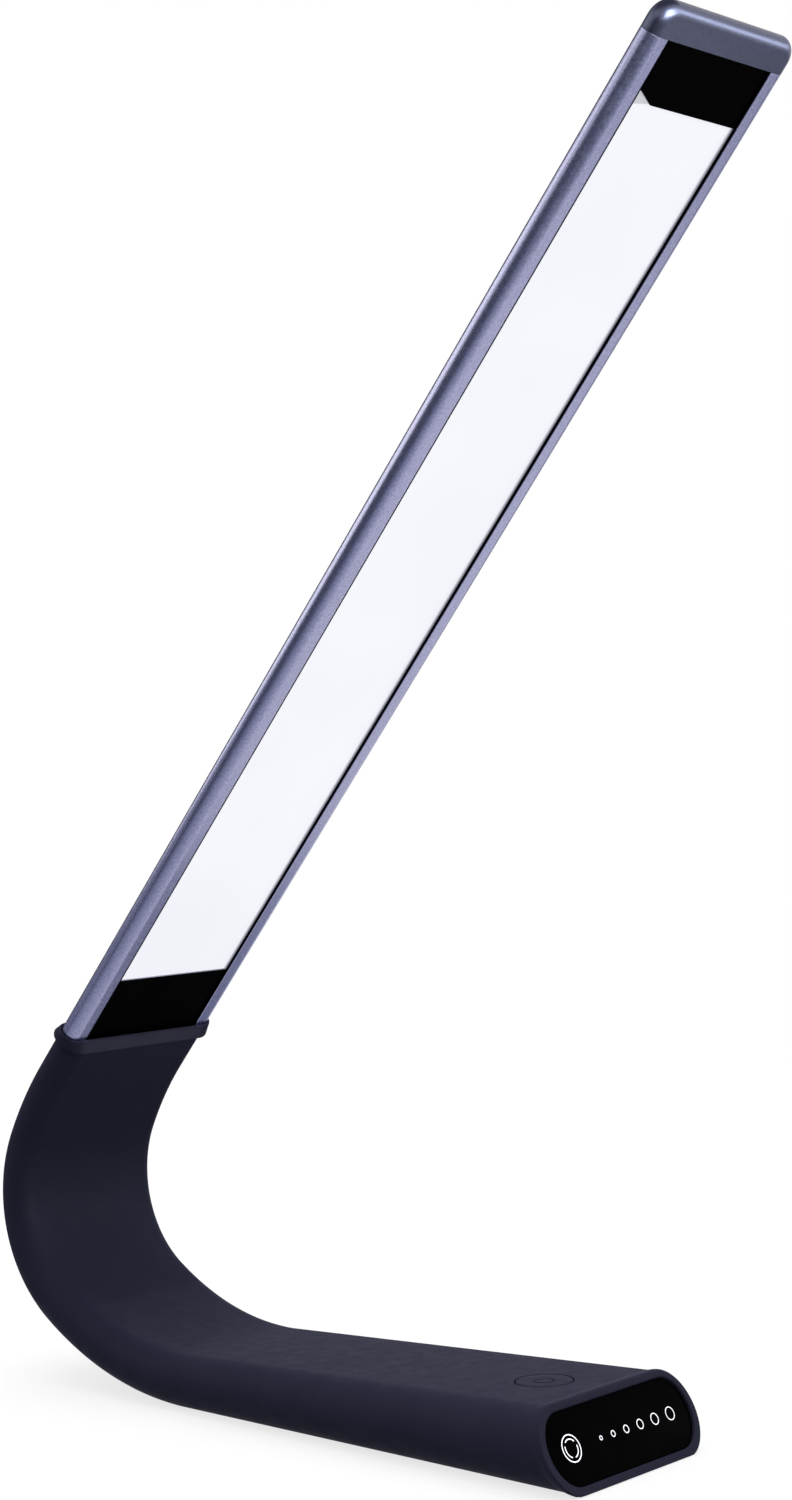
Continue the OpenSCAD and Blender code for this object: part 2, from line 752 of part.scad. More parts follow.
module panel_carrier() color("black") {
    difference() {
        base_form(case_in);
        before_panel(carrier_front);
        past_panel(carrier_front - carrier_t);
        on_panel() translate([0, 0, carrier_front - carrier_t - over]) linear_extrude(carrier_t + 2 * over)
            oval_end_plate(
                panel_w - 2 * carrier_margin,
                panel_h - 2 * carrier_margin_h,
                panel_bulge - touch_margin
            );
    }
}

anchor_head_low = anchor_high - anchor_screw_head[1] - screw_fit;
module neck_anchor() color("gray") {
    hinge = hinge_at(1);
    foot_back = foot[0] + case_back - case_wall - 2 * screw_fit;
    difference() {
        union() {
            block([-link_w / 2, anchor_front, floor_z + seat_fit], [link_w / 2, foot_back, anchor_high]);
            block([-link_w / 2, anchor_front, anchor_low], [link_w / 2, hinge[0] - knuckle_gap, anchor_high]);
        }
        translate([0, 0, hinge[1]]) block(
            [-channel_w / 2, anchor_front - over, channel_floor],
            [channel_w / 2, hinge[0], link_t]
        );
        pair() translate([anchor_screw_x, anchor_screw_y, 0]) {
            cylinder(d = anchor_screw_d + 2 * screw_fit, h = half);
            translate([0, 0, anchor_head_low]) cylinder(d = anchor_screw_head[0] + 4 * screw_fit, h = half);
        }
    }
    translate([0, 0, hinge[1]]) knuckle(outer_x, hinge[0], -knuckle_gap);
}

module anchor_screws() color("silver") {
    tip = case_in + 2 * screw_fit;
    pair() translate([anchor_screw_x, anchor_screw_y, 0]) {
        translate([0, 0, anchor_head_low]) cylinder(d = anchor_screw_head[0], h = anchor_screw_head[1]);
        translate([0, 0, tip]) cylinder(d = anchor_screw_d, h = anchor_head_low - tip);
    }
}

base_sleeve();
neck_sleeve();
neck_lead();
base_tray();
base_lid();
lid_screws();
counterweight();
battery();
control_board();
tact_switch();
charge_port();
touch_panel();
touch_board();
panel_carrier();
neck_anchor();
anchor_screws();
power_key();
switch_plunger();
for (i = [1 : hinges]) hinge_pin_pair(i);
for (i = [1 : hinges - 1]) spine_link(i);
head_anchor();
head_housing();
end_cap();
face_mask();
diffuser();
light_guide();
reflector();
led_boards();
led_chips();
collar();
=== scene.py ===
import math

import bmesh
import bpy
import numpy as np
from bpy.props import FloatProperty, FloatVectorProperty, PointerProperty, StringProperty
from mathutils import Matrix, Vector
from mathutils.bvhtree import BVHTree
from mathutils.interpolate import poly_3d_calc


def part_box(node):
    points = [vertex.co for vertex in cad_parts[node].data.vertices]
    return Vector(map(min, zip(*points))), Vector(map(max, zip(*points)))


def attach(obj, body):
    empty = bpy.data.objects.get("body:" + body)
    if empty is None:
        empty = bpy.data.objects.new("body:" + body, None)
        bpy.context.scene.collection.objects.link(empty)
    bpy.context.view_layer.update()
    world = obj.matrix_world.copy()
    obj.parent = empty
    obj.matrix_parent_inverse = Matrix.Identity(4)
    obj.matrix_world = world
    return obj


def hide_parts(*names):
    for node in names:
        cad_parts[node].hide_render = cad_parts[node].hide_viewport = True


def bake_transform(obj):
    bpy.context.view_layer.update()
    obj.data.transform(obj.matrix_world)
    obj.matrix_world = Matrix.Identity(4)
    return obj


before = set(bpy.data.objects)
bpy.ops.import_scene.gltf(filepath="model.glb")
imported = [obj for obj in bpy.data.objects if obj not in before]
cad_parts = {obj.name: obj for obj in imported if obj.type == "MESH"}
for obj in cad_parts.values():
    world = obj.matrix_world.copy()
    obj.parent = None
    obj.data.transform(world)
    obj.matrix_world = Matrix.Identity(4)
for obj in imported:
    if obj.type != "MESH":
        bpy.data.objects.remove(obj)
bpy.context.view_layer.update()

bl_info = {
    "name": "Cordless desk lamp",
    "version": (1, 0, 0),
    "blender": (4, 5, 0),
    "location": "3D View > Sidebar > Lamp",
    "description": "Dresses the desk lamp's solids with its silicone, aluminium and lit pieces",
    "category": "Object",
}

MM = 0.001
HINGES = 9


# Properties

def length(name, description, millimetres):
    """A length property, given in millimetres and kept in metres."""
    return FloatProperty(
        name=name, description=description, default=millimetres * MM, unit="LENGTH", precision=5
    )


def degrees(name, description, value):
    """An angle property, given in degrees."""
    return FloatProperty(name=name, description=description, default=math.radians(value), unit="ROTATION")


def colour(name, description, value):
    """A colour property, kept as an sRGB hex value."""
    return StringProperty(name=name, description=description, default=value)


class LampSizes(bpy.types.PropertyGroup):
    """Sizes of the visible pieces, the same as in the solids."""

    head_w: length("Bar width", "Width of the light bar", 46)
    head_t: length("Bar thickness", "Thickness of the light bar", 5)
    head_len: length("Bar length", "From the collar to the end cap", 260.6)
    head_skin: length("Bar wall", "Wall of the aluminium channel", 1)
    edge_w: length("Bar edge", "Width of the bar's edge beside the window", 5.1)
    cap_len: length("Cap length", "Length of the end cap", 7)
    cap_corner: length("Cap corner", "Corner radius of the end cap", 4.5)
    neck_w: length("Neck width", "Width of the neck", 43.8)
    neck_t_low: length("Neck root", "Thickness of the neck at the base", 12)
    neck_t_top: length("Neck top", "Thickness of the neck at the collar", 8.4)
    bend_r_low: length("Low bend", "Outer radius of the bend next to the base", 78.4)
    bend_a_low: degrees("Low turn", "Turn of the bend next to the base", 34.4)
    bend_r_mid: length("Tight bend", "Outer radius of the tight part of the bend", 34.8)
    bend_a_mid: degrees("Tight turn", "Turn of the tight part of the bend", 81.2)
    bend_r_top: length("Top bend", "Outer radius of the bend next to the collar", 82)
    bend_a_top: degrees("Top turn", "Turn of the bend next to the collar", 14)
    neck_straight: length("Neck straight", "Straight run from the bend to the collar's edge", 14)
    sleeve_wall: length("Sleeve wall", "Wall of the silicone sleeve", 1.6)
    collar_len: length("Collar length", "Length of the collar round the bar", 2.8)
    collar_wall: length("Collar wall", "How far the collar stands proud of the bar's edges", 0.7)
    collar_proud: length("Collar step", "How far the collar stands proud of the neck", 0.5)
    base_len: length("Base length", "Length of the flat underside", 110)
    base_h: length("Base height", "Height of the base at the panel end", 16.7)
    base_w: length("Base width", "Width of the base at the panel end", 51.5)
    side_bulge: length("Side bulge", "How far the sides of the base bulge", 8.2)
    panel_w: length("Panel width", "Width of the touch panel", 48.2)
    panel_h: length("Panel height", "Height of the touch panel along its slope", 15.3)
    panel_bulge: length("Panel ends", "Bulge of the panel's ends", 6.6)
    panel_t: length("Panel thickness", "Thickness of the touch panel", 1.2)
    panel_lean: degrees("Panel lean", "Lean of the panel back from upright", 26.5)
    panel_z: length("Panel middle", "Height of the panel's middle above the table", 8.2)
    lip_face: length("Lip depth", "How far the lip stands forward of the panel", 0.6)
    lip_proud: length("Lip flare", "How far the lip stands proud of the base", 0.4)
    key_d: length("Key", "Diameter of the power key", 12)
    key_back: length("Key place", "Distance of the key's middle behind the base's front edge", 23.4)
    key_gap: length("Key gap", "Gap round the power key", 0.3)
    mask_low: length("Low mask", "Black mask at the collar end of the window", 17.5)
    mask_high: length("High mask", "Black mask at the cap end of the window", 13.3)
    notch_w: length("Mask notch", "Width of the notch at the high mask's corner", 6.2)
    lead_d: length("Lead", "Diameter of the lead in the neck", 1.6)


class LampFinish(bpy.types.PropertyGroup):
    """Colours of the visible pieces."""

    silicone: colour("Silicone", "Soft-touch silicone of base and neck", "#2a2a3d")
    silicone_dark: colour("Silicone shade", "Darker clouding of the silicone", "#28283b")
    # Paler silicone for the collar's front: painted light, not a paler shade of the silicone itself.
    silicone_painted_light: colour("Stretched silicone", "Paler silicone, stretched over the bar", "#434356")
    aluminium: colour("Aluminium", "Anodised aluminium of the bar", "#a6a6c6")
    aluminium_dark: colour("Aluminium grain", "Darker grain of the blasted bar", "#9292b2")
    cap: colour("Cap", "Anodised aluminium of the end cap", "#5a5c71")
    gloss_black: colour("Black", "Black of the masks and the panel", "#050506")
    diffuser: colour("Diffuser", "Lit opal sheet", "#f2f3f8")
    mark: colour("Marks", "White print on the panel", "#f4f6fb")


class LampStage(bpy.types.PropertyGroup):
    """The camera."""

    camera: FloatVectorProperty(
        name="Camera", description="Place of the camera", default=(-0.4463, -0.3751, 0.1533), unit="LENGTH"
    )
    yaw: degrees("Yaw", "Turn of the camera round the object", -49.489)
    pitch: degrees("Pitch", "Height angle of the camera", 0.634)
    roll: degrees("Roll", "Roll of the camera", -0.876)
    lens: FloatProperty(
        name="Lens", description="Focal length on a 36 mm sensor", default=65.17, unit="CAMERA"
    )


def sizes():
    return bpy.context.scene.lamp_sizes


def finish():
    return bpy.context.scene.lamp_finish


# The line of the sleeve, and its section

SIDE_STEPS = 26
FLAT_STEPS = 12


class Route:
    """The outer line of base and neck in side view, at a distance s past the end of the flat underside."""

    def __init__(self, z):
        self.z = z
        self.arcs = [
            (z.bend_r_low, z.bend_a_low),
            (z.bend_r_mid, z.bend_a_mid),
            (z.bend_r_top, z.bend_a_top),
        ]
        self.turn = sum(a for _, a in self.arcs)
        self.bend_len = sum(r * a for r, a in self.arcs)
        self.neck_len = self.bend_len + z.neck_straight
        self.pitch = self.bend_len / HINGES

    def at(self, s):
        """Heading and [y, z] of the outer line."""
        y, h, a = self.z.base_len / 2, 0.0, 0.0
        if s <= 0:
            return 0.0, (y + s, 0.0)
        left = s
        for radius, turn in self.arcs:
            b = a + min(left / radius, turn)
            y += radius * (math.sin(b) - math.sin(a))
            h += radius * (math.cos(a) - math.cos(b))
            left -= radius * (b - a)
            a = b
            if left <= 1e-12:
                return a, (y, h)
        return a, (y + left * math.cos(a), h + left * math.sin(a))

    def lift(self, s, points):
        """Section points [x, depth] at s, in the frame."""
        a, (y, h) = self.at(s)
        p = np.asarray(points)
        return np.stack([p[:, 0], y - p[:, 1] * math.sin(a), h + p[:, 1] * math.cos(a)], 1)

    def taper(self, s):
        """How far the base has grown toward its panel end, from 0 to 1."""
        return max(-s / self.z.base_len, 0.0)

    def thick(self, s):
        z = self.z
        base = (z.base_h - z.neck_t_low) * self.taper(s)
        neck = (z.neck_t_top - z.neck_t_low) * (self.at(s)[0] / self.turn)
        return z.neck_t_low + base + neck

    def wide(self, s):
        return self.z.neck_w + (self.z.base_w - self.z.neck_w) * self.taper(s)

    def bulge(self, s):
        k = self.taper(s)
        return self.thick(s) / 2 * (1 - k) + self.z.side_bulge * k

    def section(self, s, inset=0.0):
        """The sleeve's outline at s, drawn in by an inset."""
        t, b = self.thick(s), self.bulge(s)
        return outline(self.wide(s) / 2 - b, b - inset, t / 2 - inset, t / 2)


def outline(half, bulge, height, middle=0.0):
    """A flat-faced loop with half-oval sides: [x, depth] points, from the right side's low end."""
    points = []
    for side in (1, -1):
        for k in range(SIDE_STEPS + 1):
            a = math.radians(-90 * side + 180 * k / SIDE_STEPS)
            points.append((side * half + bulge * math.cos(a), middle + height * math.sin(a)))
        for k in range(1, FLAT_STEPS):
            points.append((side * half * (1 - 2 * k / FLAT_STEPS), middle + side * height))
    return np.array(points)


def quarter(steps):
    """A rounded edge in equal steps: how far each point lies inside the edge's two faces, per radius."""
    turns = [math.pi / 2 * k / steps for k in range(steps + 1)]
    return [(1 - math.cos(a), 1 - math.sin(a)) for a in turns]


# Meshes

LATHE_STEPS = 96
LINE_HEIGHT = 0.02 * MM
TOUCHING = 2e-6


def new_object(name, verts, faces, material, smooth=True):
    """A mesh object at the origin."""
    mesh = bpy.data.meshes.new(name)
    mesh.from_pydata([tuple(v) for v in verts], [], faces)
    mesh.validate()
    mesh.materials.append(material)
    mesh.polygons.foreach_set("use_smooth", [smooth] * len(mesh.polygons))
    mesh.update()
    obj = bpy.data.objects.new(name, mesh)
    bpy.context.scene.collection.objects.link(obj)
    return obj


def face_outward(obj):
    """Turns the faces of a closed mesh outward."""
    bm = bmesh.new()
    bm.from_mesh(obj.data)
    bmesh.ops.remove_doubles(bm, verts=bm.verts, dist=1e-8)
    bmesh.ops.recalc_face_normals(bm, faces=bm.faces)
    bm.to_mesh(obj.data)
    bm.free()
    obj.data.update()


def piece(name, mesh, material, smooth=True, sharp=None):
    """A closed piece of points and faces, its edges sharp from an angle in degrees."""
    obj = new_object(name, *mesh, material, smooth)
    face_outward(obj)
    if sharp:
        obj.data.set_sharp_from_angle(angle=math.radians(sharp))
    return obj


def placed(matrix, points):
    """Points of a frame, in the object's own frame."""
    return [matrix @ Vector(p) for p in points]


def ring_mesh(rings, sock=True):
    """Points and faces of rings, each joined to the next: a closed sock, or a rod with two end faces."""
    count, n = len(rings), len(rings[0])
    faces = []
    for r in range(count if sock else count - 1):
        q = (r + 1) % count
        for i in range(n):
            j = (i + 1) % n
            faces.append((r * n + i, r * n + j, q * n + j, q * n + i))
    if not sock:
        faces += [tuple(range(n))[::-1], tuple(range((count - 1) * n, count * n))]
    return np.concatenate(rings), faces


def grid_normals(rings):
    """Outward normals of a stack of rings, from the neighbours on all four sides."""
    g = np.array(rings)
    along = np.empty_like(g)
    along[1:-1] = g[2:] - g[:-2]
    along[0], along[-1] = g[1] - g[0], g[-1] - g[-2]
    across = np.roll(g, -1, 1) - np.roll(g, 1, 1)
    n = np.cross(along, across)
    n /= np.maximum(np.linalg.norm(n, axis=2, keepdims=True), 1e-15)
    return n


def shade_like(obj, surface):
    """Gives faces on a surface of rings the normals of that surface, so that pieces meet unseen."""
    points, normals = surface
    flat_n = normals.reshape(-1, 3)
    flat, faces = ring_mesh(points, False)
    quads = faces[:-2]
    tree = BVHTree.FromPolygons([tuple(p) for p in flat], quads)
    mesh = obj.data
    found = {}
    for v in mesh.vertices:
        place, _, index, gap = tree.find_nearest(v.co)
        if place is None or gap > TOUCHING:
            continue
        quad = quads[index]
        weights = poly_3d_calc([Vector(flat[k]) for k in quad], place)
        normal = Vector(sum(w * flat_n[k] for w, k in zip(weights, quad)))
        found[v.index] = normal.normalized()
    loops = [(0.0, 0.0, 0.0)] * len(mesh.loops)
    for face in mesh.polygons:
        corners = [(k, mesh.loops[k].vertex_index) for k in face.loop_indices]
        if all(v in found and found[v].dot(face.normal) > 0.8 for _, v in corners):
            for k, v in corners:
                loops[k] = tuple(found[v])
    mesh.normals_split_custom_set(loops)


def cut(obj, tool):
    """Cuts a closed tool out of an object, and removes the tool."""
    mod = obj.modifiers.new("cut", "BOOLEAN")
    mod.operation, mod.solver, mod.object = "DIFFERENCE", "EXACT", tool
    settle(obj)
    mesh = tool.data
    bpy.data.objects.remove(tool)
    bpy.data.meshes.remove(mesh)


def settle(obj):
    """Makes the result of an object's modifiers its plain mesh."""
    dg = bpy.context.evaluated_depsgraph_get()
    dg.update()
    result = bpy.data.meshes.new_from_object(obj.evaluated_get(dg))
    obj.modifiers.clear()
    old, name = obj.data, obj.data.name
    obj.data = result
    bpy.data.meshes.remove(old)
    result.name = name


def turned(profile, matrix):
    """Points and faces of a closed lathe: [radius, height] points about the frame's Z, poles welded."""
    verts, faces, rows = [], [], []
    turns = [2 * math.pi * k / LATHE_STEPS for k in range(LATHE_STEPS)]
    for r, h in profile:
        if r < 1e-9:
            rows.append([len(verts)] * LATHE_STEPS)
            verts.append(matrix @ Vector((0, 0, h)))
            continue
        rows.append(list(range(len(verts), len(verts) + LATHE_STEPS)))
        verts += placed(matrix, [(r * math.cos(a), r * math.sin(a), h) for a in turns])
    for low, high in zip(rows, rows[1:]):
        for k in range(LATHE_STEPS):
            j = (k + 1) % LATHE_STEPS
            face = (low[k], low[j], high[j], high[k])
            faces.append(tuple(dict.fromkeys(face)))
    return verts, faces


def bands(arcs, matrix):
    """Thin flat bands, [middle x, y, radius, width, start, sweep] each, as one mesh."""
    verts, faces = [], []
    for x, y, radius, width, begin, sweep in arcs:
        closed = abs(sweep - 2 * math.pi) < 1e-6
        steps = max(int(64 * sweep / (2 * math.pi)), 10)
        count = steps if closed else steps + 1
        first = len(verts)
        for k in range(count):
            a = begin + sweep * k / steps
            for side, h in ((-1, 0), (1, 0), (1, 1), (-1, 1)):
                d = radius + side * width / 2
                point = (x + d * math.cos(a), y + d * math.sin(a), h * LINE_HEIGHT)
                verts.append(matrix @ Vector(point))
        for k in range(steps):
            a, b = first + 4 * k, first + 4 * ((k + 1) % count)
            for i in range(4):
                j = (i + 1) % 4
                faces.append((a + i, b + i, b + j, a + j))
        if not closed:
            last = first + 4 * (count - 1)
            faces.append((first + 3, first + 2, first + 1, first))
            faces.append((last, last + 1, last + 2, last + 3))
    return verts, faces


# Frames of the bar, the panel and the key: +Y along the surface, +Z out of it

def bar_frame(route):
    a, (y, h) = route.at(route.neck_len)
    d = route.z.neck_t_top / 2
    middle = Vector((0, y - d * math.sin(a), h + d * math.cos(a)))
    return Matrix.Translation(middle) @ Matrix.Rotation(a, 4, "X")


def panel_frame(z):
    y = -z.base_len / 2 + z.panel_z * math.tan(z.panel_lean)
    return Matrix.Translation((0, y, z.panel_z)) @ Matrix.Rotation(math.pi / 2 - z.panel_lean, 4, "X")


def key_frame(route):
    z = route.z
    y = -z.base_len / 2 + z.key_back
    slope = math.atan((z.base_h - z.neck_t_low) / z.base_len)
    return Matrix.Translation((0, y, route.thick(y - z.base_len / 2))) @ Matrix.Rotation(-slope, 4, "X")


# Materials. A Mix node's colours are its inputs 6 and 7 and its output 2.

MATERIALS = {}
GUIDE_SLANT = 0.167
WHITE = (1, 1, 1, 1)


def linear(hex_value):
    """Linear colour of an sRGB hex value."""
    parts = [int(hex_value.lstrip("#")[k : k + 2], 16) / 255 for k in (0, 2, 4)]
    return [c / 12.92 if c <= 0.04045 else ((c + 0.055) / 1.055) ** 2.4 for c in parts] + [1.0]


def add(tree, kind, links=None, inputs=None, **settings):
    """Adds a node with its settings, values and incoming links."""
    node = tree.nodes.new(kind)
    for key, value in settings.items():
        setattr(node, key, value)
    for key, value in (inputs or {}).items():
        node.inputs[key].default_value = value
    for key, socket in (links or {}).items():
        tree.links.new(socket, node.inputs[key])
    return node


def emptied(block):
    """The empty node tree of a material or a world."""
    block.use_nodes = True
    block.node_tree.nodes.clear()
    return block.node_tree


def start(name):
    """A new material, its tree and its Object coordinates."""
    material = bpy.data.materials.new(name)
    tree = emptied(material)
    return material, tree, add(tree, "ShaderNodeTexCoord").outputs["Object"]


def finished(material, tree, links, inputs):
    """Ends a material in its shader, with the links and values that it takes."""
    shader = add(tree, "ShaderNodeBsdfPrincipled", links, inputs)
    add(tree, "ShaderNodeOutputMaterial", {"Surface": shader.outputs["BSDF"]})
    return material


def clouded(tree, place, size, low, high, detail=2.0):
    """A colour that wanders between two hex values over a real size in metres."""
    noise = add(tree, "ShaderNodeTexNoise", {"Vector": place}, {"Scale": 1 / size, "Detail": detail})
    ramp = add(tree, "ShaderNodeValToRGB", {"Fac": noise.outputs["Fac"]})
    for stop, position, shade in zip(ramp.color_ramp.elements, (0.35, 0.65), (low, high)):
        stop.position, stop.color = position, linear(shade)
    return ramp.outputs["Color"]


def spread(tree, place, size, low, high):
    """A value that wanders between two numbers over a real size in metres."""
    noise = add(tree, "ShaderNodeTexNoise", {"Vector": place}, {"Scale": 1 / size, "Detail": 2.0})
    limits = {"From Min": 0.3, "From Max": 0.7, "To Min": low, "To Max": high}
    return add(tree, "ShaderNodeMapRange", {"Value": noise.outputs["Fac"]}, limits).outputs["Result"]


def grain(tree, place, size, depth):
    """Bump of a fine grain, its size and depth in metres."""
    noise = add(tree, "ShaderNodeTexNoise", {"Vector": place}, {"Scale": 1 / size, "Detail": 1.0})
    amount = {"Strength": 1.0, "Distance": depth}
    return add(tree, "ShaderNodeBump", {"Height": noise.outputs["Fac"]}, amount).outputs["Normal"]


def faded(tree, value, start_at, end_at, low):
    """1 up to a place, then down to a low value over a real length."""
    limits = {"From Min": start_at, "From Max": end_at, "To Min": 1.0, "To Max": low}
    fade = add(tree, "ShaderNodeMapRange", {"Value": value}, limits, interpolation_type="SMOOTHSTEP")
    return fade.outputs["Result"]


def soft_touch_silicone(name, painted_light=False):
    """Moulded silicone with a soft-touch coat: dull, faintly clouded, with a velvet edge and a fine grain.

    With its flag set, the middle over the flat of the bar is painted paler: painted light on the collar's
    front, while its ends keep the plain shade.
    """
    material, tree, place = start(name)
    f, half = finish(), sizes().head_w / 2
    cloud = 9 * MM
    shade = clouded(tree, place, cloud, f.silicone_dark, f.silicone, 4.0)
    if painted_light:
        # Painted light: over the flat of the bar the collar is drawn in a paler silicone, as if lit; toward
        # its ends it keeps the plain shade.
        x = add(tree, "ShaderNodeSeparateXYZ", {"Vector": place}).outputs["X"]
        across = add(tree, "ShaderNodeMath", {0: x}, operation="ABSOLUTE").outputs[0]
        flat = faded(tree, across, half - 5 * MM, half - 2.5 * MM, 0.0)
        lit_silicone = clouded(tree, place, cloud, "#3f3f52", f.silicone_painted_light, 4.0)
        shade = add(tree, "ShaderNodeMix", {0: flat, 6: shade, 7: lit_silicone}, data_type="RGBA").outputs[2]
    links = {
        "Base Color": shade,
        "Roughness": spread(tree, place, 3 * MM, 0.58, 0.68),
        # Real grain is near 0.1 mm; it is drawn at 0.3 mm so that it shows.
        "Normal": grain(tree, place, 0.3 * MM, 0.006 * MM),
    }
    values = {
        "IOR": 1.42,
        "Specular IOR Level": 0.045,
        "Sheen Weight": 0.015,
        "Sheen Roughness": 0.45,
        "Sheen Tint": linear("#7a76a0"),
    }
    return finished(material, tree, links, values)


def blasted_aluminium():
    """Bead-blasted, anodised aluminium: a grey-lilac metal with a fine sparkle and long soft gradients."""
    material, tree, place = start("bead_blasted_anodised_aluminium")
    links = {
        # Blasting leaves pits near 0.1 mm; they are drawn at 0.45 mm so that they show.
        "Base Color": clouded(tree, place, 0.45 * MM, finish().aluminium_dark, finish().aluminium),
        "Roughness": spread(tree, place, 1.2 * MM, 0.23, 0.29),
        "Normal": grain(tree, place, 0.4 * MM, 0.008 * MM),
    }
    return finished(material, tree, links, {"Metallic": 1.0})


def satin_aluminium():
    """Die-cast cap, anodised darker and smoother than the bar: blue-grey metal with a soft highlight."""
    material, tree, place = start("satin_anodised_cap")
    links = {
        "Base Color": clouded(tree, place, 0.6 * MM, "#54566a", finish().cap),
        "Roughness": spread(tree, place, 2 * MM, 0.30, 0.35),
        "Normal": grain(tree, place, 0.4 * MM, 0.003 * MM),
    }
    return finished(material, tree, links, {"Metallic": 1.0})


def black_acrylic(name, roughness, specular, painted_wall=False):
    """Back-printed acrylic: a deep black with a thin clear gloss.

    The mask's side strips are black where the channel's inner wall beside the lit sheet lies in shade:
    painted shade. Their lowest faces, up to 0.2 mm above the seat under the bar's lips and fading out by
    0.5 mm, are painted pale grey and show as a soft grey line beside the lit sheet: painted light for the
    lit foot of that wall.
    """
    material, tree, place = start(name)
    z = sizes()
    cloud = 6 * MM
    shade = clouded(tree, place, cloud, "#030304", finish().gloss_black)
    if painted_wall:
        bar = bar_frame(Route(z))
        rise = add(tree, "ShaderNodeVectorMath", {0: place}, {1: bar.col[2][:3]}, operation="DOT_PRODUCT")
        foot = bar.translation.dot(bar.col[2].to_3d()) + z.head_t / 2 - z.head_skin
        pale = faded(tree, rise.outputs["Value"], foot + 0.2 * MM, foot + 0.5 * MM, 0.0)
        # Painted light: a pale grey on the mask's lowest faces, standing for the lit foot of the channel's
        # wall.
        painted_wall_light = clouded(tree, place, cloud, "#b4b4c4", "#bcbccc")
        shade = add(tree, "ShaderNodeMix", {0: pale, 6: shade, 7: painted_wall_light}, data_type="RGBA").outputs[2]
    rough = spread(tree, place, 4 * MM, roughness, roughness + 0.04)
    links = {"Base Color": shade, "Roughness": rough}
    return finished(material, tree, links, {"IOR": 1.49, "Specular IOR Level": specular})


def opal_sheet():
    """Opal acrylic lit from its edges: an even cool white.

    It dims under the window's right edge, which is painted shade at the edge of the recess, and past the
    end of the light guide.
    """
    material, tree, place = start("lit_opal_acrylic")
    z = sizes()
    bar = bar_frame(Route(z))
    dot = add(tree, "ShaderNodeVectorMath", {0: place}, {1: bar.col[1][:3]}, operation="DOT_PRODUCT")
    along = dot.outputs["Value"]
    x = add(tree, "ShaderNodeSeparateXYZ", {"Vector": place}).outputs["X"]
    window = z.head_w / 2 - z.edge_w
    # Painted shade: toward the window's right edge the sheet dims to a quarter.
    side = faded(tree, x, window - 1.1 * MM, window + 0.1 * MM, 0.25)
    # The guide is cut a little askew at its end, so the unlit corner is a triangle.
    slant = add(tree, "ShaderNodeMath", {0: x}, {1: GUIDE_SLANT}, operation="MULTIPLY").outputs[0]
    reach = add(tree, "ShaderNodeMath", {0: along, 1: slant}, operation="SUBTRACT").outputs[0]
    lit_end = bar.translation.dot(bar.col[1].to_3d()) + z.head_len - z.mask_high
    lit_end += GUIDE_SLANT * (window - z.notch_w)
    tip = faded(tree, reach, lit_end - 0.15 * MM, lit_end + 0.15 * MM, 0.63)
    both = add(tree, "ShaderNodeMath", {0: side, 1: tip}, operation="MULTIPLY").outputs[0]
    power = add(tree, "ShaderNodeMath", {0: both}, {1: 0.91}, operation="MULTIPLY").outputs[0]
    glow = clouded(tree, place, 30 * MM, "#eef0f5", finish().diffuser, 1.0)
    links = {"Emission Color": glow, "Emission Strength": power}
    values = {"Base Color": linear("#8f9299"), "Roughness": 0.45, "Specular IOR Level": 0.1}
    return finished(material, tree, links, values)


def panel_print():
    """White screen print on the panel, lit from behind: crisp marks that glow evenly."""
    material, tree, place = start("white_screen_print")
    mark = finish().mark
    links = {"Base Color": clouded(tree, place, 2 * MM, "#e6e9f0", mark)}
    values = {"Roughness": 0.5, "Emission Strength": 0.9, "Emission Color": linear(mark)}
    return finished(material, tree, links, values)


def moulded_mark():
    """The key's sign, moulded in the silicone: a dull line in a darker shade."""
    material, tree, place = start("moulded_key_sign")
    links = {"Base Color": clouded(tree, place, 1 * MM, "#0b0b13", "#101019")}
    return finished(material, tree, links, {"Roughness": 0.7, "Specular IOR Level": 0.02})


def plain_finish(name, low, high, patch, roughness, metallic=0.0, depth=0.0):
    """A clouded finish for the parts inside: two close colours, patch and grain depth in millimetres."""
    material, tree, place = start(name)
    size = patch * MM
    links = {
        "Base Color": clouded(tree, place, size, low, high),
        "Roughness": spread(tree, place, size * 2, roughness - 0.04, roughness + 0.04),
    }
    if depth:
        links["Normal"] = grain(tree, place, size, depth * MM)
    return finished(material, tree, links, {"Metallic": metallic})


def made(build, *values):
    """A material, made once."""
    key = (build, *values)
    if key not in MATERIALS:
        MATERIALS[key] = build(*values)
    return MATERIALS[key]


def silicone():
    return made(soft_touch_silicone, "soft_touch_silicone")


def dress(node, material):
    """Puts a material on a CAD node."""
    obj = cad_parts[node]
    if not obj.material_slots:
        obj.data.materials.append(material)
    for slot in obj.material_slots:
        slot.material = material


# The silicone sleeve

BODY_RINGS = 26
FLARE_RINGS = 12
ZONE_RINGS = 10
TOP_RINGS = 4
LIP_BACK = 3.2 * MM
LIP_EDGE = 0.55 * MM
RIM_EDGE = 0.3 * MM
HOLE_EDGE = 0.25 * MM
FRONT_SPARE = 10 * MM
SEAT = 0.05 * MM
BAR_START = 0.4 * MM
# Two places a little inside a stretch's ends, as shares of its length.
TURNING = (0.14, 0.86)


def ruled_points(route, matrix, inset, depth):
    """Where the base's sides, drawn in by an inset, meet a plane at the panel, above the table."""
    back = route.lift(0.0, route.section(0.0, inset))
    far = -route.z.base_len - FRONT_SPARE
    front = route.lift(far, route.section(far, inset))
    normal = np.array(matrix.col[2][:3])
    middle = np.array(matrix.translation) + depth * normal
    t = ((middle - back) @ normal) / ((front - back) @ normal)
    points = back + t[:, None] * (front - back)
    points[:, 2] = np.maximum(points[:, 2], 0.0)
    return points


